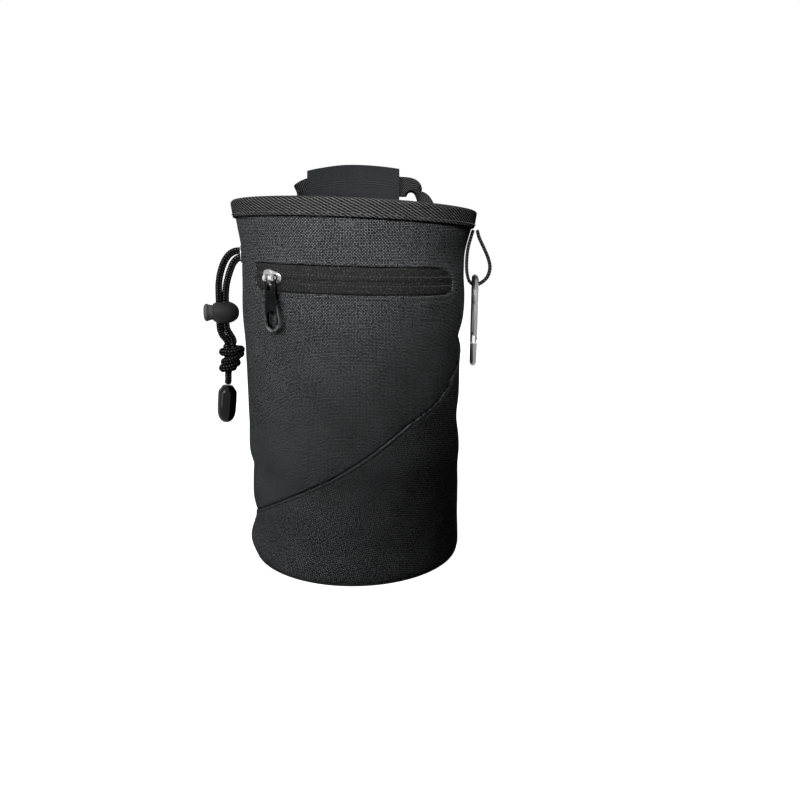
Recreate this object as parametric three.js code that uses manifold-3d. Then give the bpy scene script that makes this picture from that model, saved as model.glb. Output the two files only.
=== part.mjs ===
// A climbing chalk bag that stands on its round base: a padded cloth cylinder of two front panels and
// a back panel, a folded webbing binding round the mouth, a zip pocket, a drawcord with a lock, a knot
// and an end, a carry strap with a sleeve behind the mouth, and a side loop with a small carabiner in it.
// Millimetres, +Z up, origin at the middle of the base's underside. The front faces -Y.
// An azimuth is measured round the bag from the front, positive towards +X.
import * as THREE from "three";
import { mergeVertices } from "three/addons/utils/BufferGeometryUtils.js";
import Module from "manifold-3d";

const wasm = await Module();
wasm.setup();

const radians = THREE.MathUtils.degToRad;

// Driving sizes
const clearance = 0.3; // between pieces that are sewn or laid together
const bodyHeight = 188; // floor to the top of the binding, half way round
const bodyRadius = 59;
const rimRise = 2.2; // the mouth is higher on the left and lower on the right by this much
const rimFrontRise = 2.2; // and higher at the front by this much
const wallThickness = 2.6;
const baseThickness = 3;
const sideSeamAzimuth = 90; // degrees, left and right
const bindingHeight = 8.7;
const bindingThickness = 1.3;

const pocketLength = 114.4; // along the curved wall
const pocketShift = 0.7; // to the right, from the front
const pocketHeight = 13.6;
const pocketBelowMouth = 35; // from the mouth down to the zip's middle
const pocketDrop = 2.4; // the zip falls this much from its left end to its right end
const pocketRecess = 1.7; // how far the window is sunk into the padded wall
// How far each of the window's corners reaches along it and across it.
const pocketLeftCorner = { along: 4, across: 4 };
const pocketTopRightCorner = { along: 18, across: 5.8 };
const pocketBottomRightCorner = { along: 8, across: 4 };
const tapeThickness = 0.7;
const tapeGap = 0.4; // between the two tapes, along the zip's middle

const sliderAzimuth = -42;
const sliderLength = 12.5;
const sliderWidth = 8;
const sliderNarrowWidth = 5.6;
const sliderPlate = 1.2;
const hingeHeight = 2.2; // of the pull's pin above the slider's plate
const pinRadius = 0.7;
const lugWidth = 2.6;
const lugShift = 2; // of the lug, the pin and the pull, towards the slider's narrow end
const pullLength = 27;
const pullThickness = 1.6;
const pullTopWidth = 7.2;
const pullBottomWidth = 10.2;
const pullRim = 1.8; // left round the pull's hole
const pullHoleRise = 1.9; // between the middles of the hole's two round ends
const pullSkew = 3; // degrees

const cordDiameter = 3;
const cordAzimuth = -82;
const eyeletBelowMouth = 24;
const eyeletOuterRadius = 4.5;
const eyeletBoreRadius = 3.5;
const eyeletFlange = 0.7;
const lockOut = 10.4; // the lock's middle, outwards and down from the eyelet
const lockDown = 30;
const lockHalfLength = 7.8; // of the whole egg, before its outer end is cut off
const lockRadius = 5.9;
const lockMouth = 5.4; // from the egg's middle to its cut end
const lockWall = 1;
const buttonRadius = 4.2;
const buttonShankRadius = 2.8;
const buttonStandOut = 4.9; // beyond the barrel's mouth
const buttonTravel = 2.5;
const cordEndRadius = 5;
const cordEndLength = 20.6;

const loopAzimuth = 82;
const loopLength = 28.6; // from the binding down to the loop's lowest point
const loopWidth = 8;
const loopThickness = 1.7;
const carabinerHeight = 50;
const carabinerWidth = 24;
const carabinerWire = 3.8;
const carabinerTurn = -1; // degrees from square to the loop
const gateLength = 18;
const gatePinRadius = 0.75;

const strapWidth = 12;
const strapThickness = 1.5;
const strapStand = 17.6; // the sleeve's middle above the mouth
const sleeveBehind = 4.1; // and behind the mouth's edge
const sleeveLength = 55.8;
const sleeveHeight = 21;
const sleeveThickness = 6;
const sleeveWall = 1;

// Shares of bodyHeight and bodyRadius that shape the cloth wall.
// The lean is added on the right and taken off on the left.
const wallProfile = [
  { height: 0.0, radius: 0.966, lean: 0.0 },
  { height: 0.016, radius: 0.988, lean: -0.004 },
  { height: 0.048, radius: 0.994, lean: -0.012 },
  { height: 0.09, radius: 0.98, lean: -0.002 },
  { height: 0.181, radius: 0.981, lean: -0.006 },
  { height: 0.266, radius: 0.976, lean: -0.009 },
  { height: 0.319, radius: 0.991, lean: -0.015 },
  { height: 0.399, radius: 0.981, lean: -0.02 },
  { height: 0.489, radius: 0.983, lean: -0.018 },
  { height: 0.585, radius: 0.986, lean: -0.02 },
  { height: 0.65, radius: 0.992, lean: -0.02 },
  { height: 0.702, radius: 0.998, lean: -0.022 },
  { height: 0.771, radius: 1.001, lean: -0.017 },
  { height: 0.835, radius: 0.997, lean: -0.014 },
  { height: 0.878, radius: 0.998, lean: -0.01 },
  { height: 0.915, radius: 1.017, lean: -0.005 },
  { height: 0.947, radius: 1.039, lean: 0.0 },
  { height: 1.0, radius: 1.056, lean: 0.0 },
];

// Soft dents and swellings of the cloth: where they are and how far they spread, in degrees and shares
// of bodyHeight, how deep they are, in shares of bodyRadius, and how much they climb for each degree.
const folds = [
  { azimuth: 84, height: 0.65, wide: 20, tall: 0.03, deep: 0.028, climb: 0.0006 },
  { azimuth: 76, height: 0.74, wide: 16, tall: 0.06, deep: -0.012, climb: 0 },
  { azimuth: 62, height: 0.885, wide: 16, tall: 0.045, deep: 0.016, climb: 0.0008 },
  { azimuth: 88, height: 0.41, wide: 20, tall: 0.04, deep: 0.012, climb: -0.001 },
  { azimuth: 30, height: 0.6, wide: 22, tall: 0.09, deep: 0.012, climb: 0.001 },
  { azimuth: -38, height: 0.5, wide: 24, tall: 0.12, deep: 0.01, climb: 0 },
  { azimuth: 8, height: 0.24, wide: 30, tall: 0.1, deep: -0.012, climb: 0.0015 },
  { azimuth: -80, height: 0.125, wide: 26, tall: 0.03, deep: 0.022, climb: 0.0005 },
  { azimuth: -78, height: 0.05, wide: 24, tall: 0.03, deep: -0.014, climb: 0 },
  { azimuth: -84, height: 0.275, wide: 18, tall: 0.025, deep: 0.014, climb: 0 },
  { azimuth: -128, height: 0.62, wide: 14, tall: 0.16, deep: 0.02, climb: 0.001 },
  { azimuth: -165, height: 0.3, wide: 18, tall: 0.14, deep: 0.018, climb: -0.001 },
  { azimuth: 166, height: 0.68, wide: 14, tall: 0.1, deep: 0.016, climb: 0 },
  { azimuth: 128, height: 0.45, wide: 16, tall: 0.18, deep: 0.02, climb: 0.001 },
  { azimuth: 118, height: 0.12, wide: 20, tall: 0.05, deep: 0.018, climb: -0.001 },
];

// The seam between the two front panels: shares of the side seams' azimuth and of bodyHeight.
const diagonalSeam = [
  { across: -1.0, height: 0.112 },
  { across: -0.8, height: 0.143 },
  { across: -0.4, height: 0.235 },
  { across: -0.13, height: 0.305 },
  { across: 0.08, height: 0.37 },
  { across: 0.3, height: 0.441 },
  { across: 0.54, height: 0.497 },
  { across: 0.76, height: 0.573 },
  { across: 1.0, height: 0.64 },
];

// A smooth curve through one column of a table, read at any place along another.
function column(table, along, name) {
  const places = Float32Array.from(table, (row) => row[along]);
  const values = Float32Array.from(table, (row) => row[name]);
  const curve = new THREE.CubicInterpolant(places, values, 1);
  return (place) => curve.evaluate(place)[0];
}

const profileRadius = column(wallProfile, "height", "radius");
const profileLean = column(wallProfile, "height", "lean");
const seamShare = column(diagonalSeam, "across", "height");

// The smallest turn from one azimuth to another, in degrees.
const turnBetween = (from, to) => ((((to - from) % 360) + 540) % 360) - 180;

function foldDepth(azimuth, share) {
  let depth = 0;
  for (const fold of folds) {
    const across = turnBetween(fold.azimuth, azimuth);
    const up = share - fold.height - fold.climb * across;
    depth += fold.deep * Math.exp(-((across / fold.wide) ** 2) - (up / fold.tall) ** 2);
  }
  return depth;
}

// Outer radius of the cloth at an azimuth in degrees and a height.
function wallRadius(azimuth, z) {
  const share = THREE.MathUtils.clamp(z / bodyHeight, 0, 1);
  const round = profileRadius(share) + profileLean(share) * Math.sin(radians(azimuth));
  return bodyRadius * (round - foldDepth(azimuth, share));
}

function rimTop(azimuth) {
  const front = rimFrontRise * Math.cos(radians(azimuth / 2)) ** 4;
  return bodyHeight - rimRise * Math.sin(radians(azimuth)) + front;
}
const wallTop = (azimuth) => rimTop(azimuth) - bindingThickness - clearance;
const eyeletHeight = bodyHeight - eyeletBelowMouth;
const seamHeight = (azimuth) => bodyHeight * seamShare(azimuth / sideSeamAzimuth);

function around(azimuth, radius, z) {
  const angle = radians(azimuth);
  return new THREE.Vector3(radius * Math.sin(angle), -radius * Math.cos(angle), z);
}

// A geometry from points and triangles, turned to face outwards.
function closedGeometry(points, triangles) {
  const positions = new Float32Array(points.flatMap((p) => [p.x, p.y, p.z]));
  let volume = 0;
  const cross = new THREE.Vector3();
  for (const [a, b, c] of triangles) volume += points[a].dot(cross.crossVectors(points[b], points[c]));
  const facing = volume < 0 ? triangles.map(([a, b, c]) => [a, c, b]) : triangles;
  const geometry = new THREE.BufferGeometry();
  geometry.setAttribute("position", new THREE.BufferAttribute(positions, 3));
  geometry.setIndex(facing.flat());
  geometry.computeVertexNormals();
  return geometry;
}

// A sheet with a front and a back, each a grid of points, joined along its open edges.
// With ring set, the sheet closes on itself across its columns.
function sheet(columns, rows, front, back, ring = false) {
  const count = ring ? columns : columns + 1;
  const points = [];
  for (const side of [front, back])
    for (let i = 0; i < count; i++)
      for (let j = 0; j <= rows; j++) points.push(side(i / columns, j / rows));
  const at = (side, i, j) => (side * count + (i % count)) * (rows + 1) + j;
  const triangles = [];
  const quad = (a, b, c, d) => triangles.push([a, b, c], [a, c, d]);
  for (let i = 0; i < columns; i++) {
    for (let j = 0; j < rows; j++) {
      quad(at(0, i, j), at(0, i + 1, j), at(0, i + 1, j + 1), at(0, i, j + 1));
      quad(at(1, i, j + 1), at(1, i + 1, j + 1), at(1, i + 1, j), at(1, i, j));
    }
    quad(at(1, i, 0), at(1, i + 1, 0), at(0, i + 1, 0), at(0, i, 0));
    quad(at(0, i, rows), at(0, i + 1, rows), at(1, i + 1, rows), at(1, i, rows));
  }
  if (!ring)
    for (let j = 0; j < rows; j++) {
      quad(at(0, 0, j), at(0, 0, j + 1), at(1, 0, j + 1), at(1, 0, j));
      quad(at(1, columns, j), at(1, columns, j + 1), at(0, columns, j + 1), at(0, columns, j));
    }
  return closedGeometry(points, triangles);
}

// A skin over sections with the same number of points. A ring of sections closes on itself, and a row of
// them gets caps.
function skin(sections, ring = false) {
  const size = sections[0].length;
  const points = sections.flat();
  const triangles = [];
  const steps = ring ? sections.length : sections.length - 1;
  for (let i = 0; i < steps; i++)
    for (let j = 0; j < size; j++) {
      const a = i * size + j;
      const b = i * size + ((j + 1) % size);
      const next = (((i + 1) % sections.length) - i) * size;
      triangles.push([a, b, b + next], [a, b + next, a + next]);
    }
  if (!ring)
    for (const [first, turned] of [[0, true], [points.length - size, false]])
      for (let j = 1; j < size - 1; j++)
        triangles.push(turned ? [first, first + j + 1, first + j] : [first, first + j, first + j + 1]);
  return closedGeometry(points, triangles);
}

// manifold-3d cuts and joins closed geometries.
function solid(geometry) {
  const bare = geometry.clone();
  bare.deleteAttribute("normal");
  bare.deleteAttribute("uv");
  const merged = mergeVertices(bare, 1e-4);
  const vertProperties = Float32Array.from(merged.attributes.position.array);
  const triVerts = Uint32Array.from(merged.index.array);
  return new wasm.Manifold(new wasm.Mesh({ numProp: 3, vertProperties, triVerts }));
}

function geometryOf(made) {
  const mesh = made.getMesh();
  const geometry = new THREE.BufferGeometry();
  geometry.setAttribute("position", new THREE.BufferAttribute(Float32Array.from(mesh.vertProperties), 3));
  geometry.setIndex(Array.from(mesh.triVerts));
  geometry.computeVertexNormals();
  return geometry;
}

function join(first, ...others) {
  return geometryOf(others.reduce((made, other) => made.add(solid(other)), solid(first)));
}

function cut(first, ...others) {
  return geometryOf(others.reduce((made, other) => made.subtract(solid(other)), solid(first)));
}

// A round tube along a curve.
function tube(curve, radius, sides, steps) {
  const section = new THREE.Shape();
  for (let i = 0; i < sides; i++) {
    const angle = (2 * Math.PI * i) / sides;
    const corner = [radius * Math.cos(angle), radius * Math.sin(angle)];
    if (i === 0) section.moveTo(...corner);
    else section.lineTo(...corner);
  }
  section.closePath();
  return new THREE.ExtrudeGeometry(section, { steps, extrudePath: curve, curveSegments: 1 });
}

function box(width, depth, height, x = 0, y = 0, z = 0) {
  return new THREE.BoxGeometry(width, depth, height).translate(x, y, z);
}

// A cylinder lying along X, Y or Z.
function rod(axis, radius, length, sides, x = 0, y = 0, z = 0) {
  const geometry = new THREE.CylinderGeometry(radius, radius, length, sides);
  if (axis === "x") geometry.rotateZ(Math.PI / 2);
  if (axis === "z") geometry.rotateX(Math.PI / 2);
  return geometry.translate(x, y, z);
}

// Materials
function finish(color, roughness, metalness) {
  return new THREE.MeshStandardMaterial({ color, roughness, metalness });
}

const shellCloth = finish(0x26262a, 0.85, 0);
const bindingWebbing = finish(0x333336, 0.8, 0);
const sleeveCloth = finish(0x2b2d33, 0.7, 0);
const strapWebbing = finish(0x1d1e20, 0.85, 0);
const zipTapeCloth = finish(0x222322, 0.85, 0);
const zipMetal = finish(0x8b8b8e, 0.3, 1);
const pullMetal = finish(0x2c2c2f, 0.35, 1);
const nickel = finish(0xc9c7c2, 0.25, 1);
const cordCloth = finish(0x121213, 0.9, 0);
const lockPlastic = finish(0x2e3033, 0.6, 0);
const cordEndPlastic = finish(0x141415, 0.25, 0);
const carabinerMetal = finish(0x8f8f90, 0.3, 1);

const bag = new THREE.Group();

function piece(parent, name, geometry, material) {
  const mesh = new THREE.Mesh(geometry, material);
  mesh.name = name;
  parent.add(mesh);
  return mesh;
}

// A group on the bag's side at an azimuth: its X points outwards, its Y round the bag and its Z up.
function sideGroup(azimuth, radius, z) {
  const group = new THREE.Group();
  group.position.copy(around(azimuth, radius, z));
  group.rotation.z = radians(azimuth - 90);
  bag.add(group);
  return group;
}

// Cloth walls
function wallPanel(from, to, columns, rows, heightAt) {
  const side = (inset) => (u, v) => {
    const azimuth = THREE.MathUtils.lerp(from, to, u);
    const z = heightAt(azimuth, v);
    return around(azimuth, wallRadius(azimuth, z) - inset, z);
  };
  return sheet(columns, rows, side(0), side(wallThickness));
}

// Rows that rise evenly to the binding's foot, and a last one at the wall's top.
function upToRim(low, rows) {
  const last = (rows - 1) / rows;
  return (azimuth, v) => {
    const foot = rimTop(azimuth) - bindingHeight - 0.8;
    return v > last + 1e-6 ? wallTop(azimuth) : THREE.MathUtils.lerp(low(azimuth), foot, v / last);
  };
}

// The pocket window's middle line, and how far its edge lies from that line, at a distance along the wall.
const pocketMiddle = (along) => bodyHeight - pocketBelowMouth - (pocketDrop * along) / pocketLength;
const azimuthAlong = (along) => THREE.MathUtils.radToDeg(along / bodyRadius);

function pocketHalfHeight(along, inset, rightCorner) {
  const fromMiddle = along - pocketShift;
  const corner = fromMiddle < 0 ? pocketLeftCorner : rightCorner;
  const reach = corner.along - inset;
  const rise = corner.across - inset;
  const beyond = Math.abs(fromMiddle) - (pocketLength / 2 - inset - reach);
  const half = pocketHeight / 2 - inset;
  return beyond <= 0 ? half : half - rise + rise * Math.sqrt(Math.max(1 - (beyond / reach) ** 2, 0));
}

// Places along the window, close together where its corners turn.
function pocketStations(inset) {
  const end = pocketLength / 2 - inset;
  const left = [0, 0.08, 0.3, 0.6, 1].map((share) => share * (pocketLeftCorner.along - inset) - end);
  const long = [1, 0.78, 0.56, 0.36, 0.2, 0.1, 0.035, 0];
  const right = long.map((share) => end - share * (pocketTopRightCorner.along - inset));
  const straight = 12;
  const middle = [];
  for (let i = 1; i < straight; i++)
    middle.push(THREE.MathUtils.lerp(left[left.length - 1], right[0], i / straight));
  return [...left, ...middle, ...right].map((along) => along + pocketShift);
}

// A curved slab that follows the wall between two depths and two edges of the window.
function pocketSlab(inset, outer, inner, low, high) {
  const sections = pocketStations(inset).map((along) => {
    const azimuth = azimuthAlong(along);
    const bottom = pocketMiddle(along) + low(pocketHalfHeight(along, inset, pocketBottomRightCorner));
    const top = pocketMiddle(along) + high(pocketHalfHeight(along, inset, pocketTopRightCorner));
    return [
      around(azimuth, wallRadius(azimuth, bottom) + outer, bottom),
      around(azimuth, wallRadius(azimuth, top) + outer, top),
      around(azimuth, wallRadius(azimuth, top) - inner, top),
      around(azimuth, wallRadius(azimuth, bottom) - inner, bottom),
    ];
  });
  return skin(sections);
}

function clothWalls() {
  const halfGap = clearance / 2;
  const gapAngle = THREE.MathUtils.radToDeg(halfGap / bodyRadius);
  const seamEdge = sideSeamAzimuth - gapAngle;
  const seamSlope = 1.15; // the seam's rise makes its upright gap wider than the gap square to it
  const underSeam = (azimuth) => seamHeight(azimuth) - halfGap * seamSlope;
  const overSeam = (azimuth) => seamHeight(azimuth) + halfGap * seamSlope;
  const backEdge = 360 - sideSeamAzimuth - gapAngle;
  const upToSeam = (azimuth, v) => v * underSeam(azimuth);
  const lower = wallPanel(-seamEdge, seamEdge, 26, 8, upToSeam);
  const upper = wallPanel(-seamEdge, seamEdge, 26, 11, upToRim(overSeam, 11));
  const back = wallPanel(sideSeamAzimuth + gapAngle, backEdge, 26, 15, upToRim(() => 0, 15));
  const window = pocketSlab(0, 2, pocketRecess, (half) => -half, (half) => half);
  const bore = rod("x", eyeletBoreRadius + eyeletFlange + clearance, 16, 16);
  const seat = rod("x", eyeletOuterRadius + clearance, 8, 16, 4);
  const eyeletHole = join(bore, seat).rotateZ(radians(cordAzimuth - 90));
  const place = around(cordAzimuth, wallRadius(cordAzimuth, eyeletHeight), eyeletHeight);
  eyeletHole.translate(place.x, place.y, place.z);
  piece(bag, "front_lower_panel", lower, shellCloth);
  piece(bag, "front_upper_panel", cut(upper, window, eyeletHole), shellCloth);
  piece(bag, "back_panel", back, shellCloth);
}

function baseDisc() {
  const sides = 48;
  const outline = new THREE.Shape();
  for (let i = 0; i < sides; i++) {
    const azimuth = (360 * i) / sides;
    const edge = around(azimuth, wallRadius(azimuth, 0) - wallThickness - clearance, 0);
    if (i === 0) outline.moveTo(edge.x, edge.y);
    else outline.lineTo(edge.x, edge.y);
  }
  outline.closePath();
  const flat = { depth: baseThickness, bevelEnabled: false, curveSegments: 1 };
  piece(bag, "base_disc", new THREE.ExtrudeGeometry(outline, flat), shellCloth);
}

// A tape folded over the wall's top edge: an upturned U whose section follows the wall's flare.
function rimBinding() {
  const out = clearance + bindingThickness;
  const inside = -wallThickness - clearance;
  const section = [
    [out, -bindingHeight],
    [out, -0.5 * bindingHeight],
    [out + 0.3, -0.16 * bindingHeight],
    [out - 0.4, -0.04 * bindingHeight],
    [0.4 * inside, 0],
    [inside - 0.7 * bindingThickness, -0.1 * bindingHeight],
    [inside - bindingThickness, -0.3 * bindingHeight],
    [inside - bindingThickness, -bindingHeight],
    [inside, -bindingHeight],
    [inside, -bindingThickness],
    [clearance, -bindingThickness],
    [clearance, -bindingHeight],
  ];
  const columns = 52;
  const sections = [];
  for (let i = 0; i < columns; i++) {
    const azimuth = sideSeamAzimuth + (360 * i) / columns;
    sections.push(
      section.map(([offset, down]) => {
        const z = rimTop(azimuth) + down;
        return around(azimuth, wallRadius(azimuth, z) + offset, z);
      }),
    );
  }
  piece(bag, "rim_binding", skin(sections, true), bindingWebbing);
}

// Zip: two tapes sunk in the window, a slider on them and a pull hinged on the slider's pin
function zipTapes() {
  const face = pocketRecess - clearance - tapeThickness;
  const back = pocketRecess - clearance;
  const half = tapeGap / 2;
  const upper = pocketSlab(clearance, -face, back, () => half, (edge) => edge);
  const lower = pocketSlab(clearance, -face, back, (edge) => -edge, () => -half);
  piece(bag, "zip_tape_upper", upper, zipTapeCloth);
  piece(bag, "zip_tape_lower", lower, zipTapeCloth);
}

function sliderPlateShape() {
  const end = sliderLength / 2;
  const wide = sliderWidth / 2;
  const narrow = sliderNarrowWidth / 2;
  const shape = new THREE.Shape();
  shape.moveTo(-end + 2, -wide);
  shape.lineTo(-0.1 * sliderLength, -wide);
  shape.quadraticCurveTo(0.15 * sliderLength, -narrow, end - 1.2, -narrow);
  shape.quadraticCurveTo(end, -narrow, end, -narrow + 1.2);
  shape.lineTo(end, narrow - 1.2);
  shape.quadraticCurveTo(end, narrow, end - 1.2, narrow);
  shape.quadraticCurveTo(0.15 * sliderLength, narrow, -0.1 * sliderLength, wide);
  shape.lineTo(-end + 2, wide);
  shape.quadraticCurveTo(-end, wide, -end, 0);
  shape.quadraticCurveTo(-end, -wide, -end + 2, -wide);
  return shape;
}

// Turns an outline drawn flat in X and Y so that it stands on the bag's side: its X round the bag, its Y up.
function standUp(geometry) {
  return geometry.rotateX(Math.PI / 2).rotateZ(Math.PI / 2);
}

function zipSlider() {
  const along = radians(sliderAzimuth) * bodyRadius;
  const height = pocketMiddle(along);
  const tapeFace = wallRadius(sliderAzimuth, height) - (pocketRecess - clearance - tapeThickness);
  const group = sideGroup(sliderAzimuth, tapeFace + clearance, height);
  const flat = { depth: sliderPlate, bevelEnabled: false, curveSegments: 4 };
  const plate = standUp(new THREE.ExtrudeGeometry(sliderPlateShape(), flat));
  const hinge = sliderPlate + hingeHeight;
  const lug = box(hingeHeight + 0.4, lugWidth, 2.4, sliderPlate + hingeHeight / 2 - 0.2, lugShift);
  const lugTop = rod("y", 1.2, lugWidth, 10, hinge, lugShift);
  const pin = rod("y", pinRadius, pullTopWidth + 0.4, 10, hinge, lugShift);
  piece(group, "zip_slider", join(plate, lug, lugTop, pin), zipMetal);

  const pull = new THREE.Group();
  pull.position.set(hinge, lugShift, 0);
  pull.rotation.x = radians(pullSkew);
  group.add(pull);
  piece(pull, "zip_pull", zipPull(), pullMetal);
}

// The pull hangs from its pin, which is its own origin: a fork with two bored ends, and a tab with a hole.
function zipPull() {
  const top = pullTopWidth / 2;
  const bottom = pullBottomWidth / 2;
  const knuckle = pinRadius + clearance + 0.65;
  const tip = -pullLength + knuckle;
  const outline = new THREE.Shape();
  outline.moveTo(-top, 0);
  outline.lineTo(-top, -0.28 * pullLength);
  outline.lineTo(-bottom, -0.72 * pullLength);
  outline.absarc(0, tip + bottom, bottom, Math.PI, 2 * Math.PI, false);
  outline.lineTo(bottom, -0.72 * pullLength);
  outline.lineTo(top, -0.28 * pullLength);
  outline.lineTo(top, 0);
  outline.closePath();
  const hole = new THREE.Path();
  hole.absarc(0, tip + bottom, bottom - pullRim, Math.PI, 2 * Math.PI, false);
  hole.absarc(0, tip + bottom + pullHoleRise, bottom - pullRim, 0, Math.PI, false);
  hole.closePath();
  outline.holes.push(hole);
  const flat = { depth: pullThickness, bevelEnabled: false, curveSegments: 8 };
  const tab = standUp(new THREE.ExtrudeGeometry(outline, flat)).translate(-pullThickness / 2, 0, 0);
  const knuckles = rod("y", knuckle, pullTopWidth, 12);
  const slotDepth = 0.22 * pullLength;
  const slotMiddle = (knuckle - slotDepth) / 2;
  const slot = box(6, lugWidth + 2 * clearance, slotDepth + knuckle, 0, 0, slotMiddle);
  const bore = rod("y", pinRadius + clearance, pullTopWidth + 2, 10);
  return cut(join(tab, knuckles), slot, bore);
}

// Drawcord: two strands out of the eyelet, through the lock and into the knot, and one tail to the end.
// Route points, outwards and up from the middle of the eyelet, in the upright plane through it.
const outerStrandRoute = [
  [-2.2, 1.75],
  [0.8, 1.75],
  [3.6, 1.4],
  [6.4, -0.2],
  [8.6, -3],
  [10.5, -7.1],
  [11.7, -11.3],
  [12.4, -15.4],
  [12.6, -20],
  [12.7, -25],
  [12.7, -31],
  [12.9, -36.4],
  [12.6, -39.6],
  [11.5, -42.4],
  [10, -44.3],
];
const innerStrandRoute = [
  [-2.2, -1.75],
  [0.9, -1.75],
  [2.7, -2.5],
  [4.6, -4.6],
  [6.2, -8],
  [7.5, -11.8],
  [8.5, -15.6],
  [9.1, -20],
  [9.3, -25],
  [9.3, -31],
  [9.5, -36],
  [9.2, -38.8],
  [7.8, -41.6],
  [6.3, -44.6],
];
const tailRoute = [
  [9.6, -62.8],
  [9.7, -65.8],
  [10.1, -68.6],
];

// The knot's core from top to bottom, and its two wraps: place, reach in cord diameters and tilt in degrees.
const knotCore = { out: 8, top: -45.9, bottom: -62.5, reach: 1.15 };
const knotWraps = [
  { out: 7.2, up: -50.8, reach: 1.53, tilt: 20 },
  { out: 8.4, up: -58.2, reach: 1.17, tilt: 20 },
];
const wrapThickness = 0.62; // in cord diameters, from a wrap's middle to its face

function drawcord() {
  const side = sideGroup(cordAzimuth, wallRadius(cordAzimuth, eyeletHeight), eyeletHeight);
  const strand = (name, route, steps) => {
    const curve = new THREE.CatmullRomCurve3(route.map(([out, up]) => new THREE.Vector3(out, 0, up)));
    piece(side, name, tube(curve, cordDiameter / 2, 8, steps), cordCloth);
  };
  strand("drawcord_outer_strand", outerStrandRoute, 22);
  strand("drawcord_inner_strand", innerStrandRoute, 20);
  strand("drawcord_tail", tailRoute, 3);

  const { out, top, bottom, reach } = knotCore;
  const core = rod("z", reach * cordDiameter, top - bottom, 12, out, 0, (top + bottom) / 2);
  const wraps = knotWraps.map((wrap) =>
    new THREE.TorusGeometry(wrap.reach * cordDiameter, wrapThickness * cordDiameter, 8, 14)
      .rotateY(radians(wrap.tilt))
      .translate(wrap.out, 0, wrap.up),
  );
  piece(side, "drawcord_knot", join(core, ...wraps), cordCloth);

  eyelet(side);
  cordLock(side);
  cordEnd(side);
}

// A metal eyelet: a flange on the cloth's outside and a barrel through the wall.
function eyelet(side) {
  const barrelRadius = eyeletBoreRadius + eyeletFlange;
  const inside = -wallThickness - 2 * clearance;
  const profile = [
    [eyeletBoreRadius, inside],
    [barrelRadius, inside],
    [barrelRadius, 0],
    [eyeletOuterRadius, 0],
    [eyeletOuterRadius, 0.4 * eyeletFlange],
    [eyeletOuterRadius - 0.6 * eyeletFlange, eyeletFlange],
    [eyeletBoreRadius + 0.4 * eyeletFlange, eyeletFlange],
    [eyeletBoreRadius, 0.6 * eyeletFlange],
    [eyeletBoreRadius, inside],
  ].map(([radius, out]) => new THREE.Vector2(radius, out));
  const ring = new THREE.LatheGeometry(profile, 20).rotateZ(-Math.PI / 2).translate(clearance, 0, 0);
  piece(side, "eyelet", ring, nickel);
}

// A spring lock on the two strands: an egg-shaped barrel with its outer end cut off, and a button that
// slides in it.
// Both have a slot for the strands, and the button's is longer by its travel.
function cordLock(side) {
  const group = new THREE.Group();
  group.position.set(lockOut, 0, -lockDown);
  side.add(group);
  const bluntness = 2.5;
  const steps = 12;
  const eggShare = (out) => 1 - Math.abs(out / lockHalfLength) ** bluntness;
  const eggRadius = (out) => lockRadius * eggShare(out) ** (1 / bluntness);
  const profile = [];
  for (let i = 0; i <= steps; i++) {
    const out = -lockHalfLength * Math.cos((i / steps) * Math.acos(-lockMouth / lockHalfLength));
    profile.push(new THREE.Vector2(eggRadius(out), out));
  }
  profile.push(new THREE.Vector2(0, lockMouth));
  const egg = new THREE.LatheGeometry(profile, 18).rotateZ(-Math.PI / 2);

  const slotStart = innerStrandRoute[9][0] - lockOut - cordDiameter / 2 - clearance;
  const slotEnd = outerStrandRoute[10][0] - lockOut + cordDiameter / 2 + clearance;
  const slot = (end) => {
    const width = cordDiameter + 2 * clearance;
    return box(end - slotStart, width, 4 * lockRadius, (end + slotStart) / 2);
  };
  const shoulder = slotStart + 1.5 * lockWall;
  const shankEnd = slotStart - lockWall;
  const along = (from, to, radius, sides) => rod("x", radius, to - from, sides, (from + to) / 2);
  const back = shankEnd - buttonTravel - clearance;
  const shankBore = along(back, lockMouth, buttonShankRadius + clearance, 14);
  const buttonBore = along(shoulder - buttonTravel - clearance, lockMouth + 1, buttonRadius + clearance, 18);
  piece(group, "cord_lock_barrel", cut(egg, shankBore, buttonBore, slot(slotEnd)), lockPlastic);

  const face = lockMouth + buttonStandOut;
  const shank = along(shankEnd, face - 1, buttonShankRadius, 14);
  const head = [
    [0, face],
    [0.82, face],
    [1, face - 0.18 * buttonRadius],
    [1, shoulder],
    [0, shoulder],
  ].map(([radius, out]) => new THREE.Vector2(radius * buttonRadius, out));
  const button = join(new THREE.LatheGeometry(head.reverse(), 18).rotateZ(-Math.PI / 2), shank);
  piece(group, "cord_lock_button", cut(button, slot(slotEnd + buttonTravel)), lockPlastic);
}

function cordEnd(side) {
  const [out, up] = tailRoute[tailRoute.length - 1];
  const profile = [
    [0, 0],
    [0.52, 0],
    [0.82, -0.07],
    [0.97, -0.22],
    [1, -0.45],
    [0.97, -0.7],
    [0.8, -0.87],
    [0.45, -0.97],
    [0, -1],
  ].map(([radius, down]) => new THREE.Vector2(radius * cordEndRadius, down * cordEndLength));
  const group = new THREE.Group();
  group.position.set(out, 0, up - clearance);
  group.rotation.y = radians(-5);
  side.add(group);
  const end = new THREE.LatheGeometry(profile.reverse(), 16).rotateX(Math.PI / 2);
  piece(group, "cord_end", end, cordEndPlastic);
}

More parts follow.
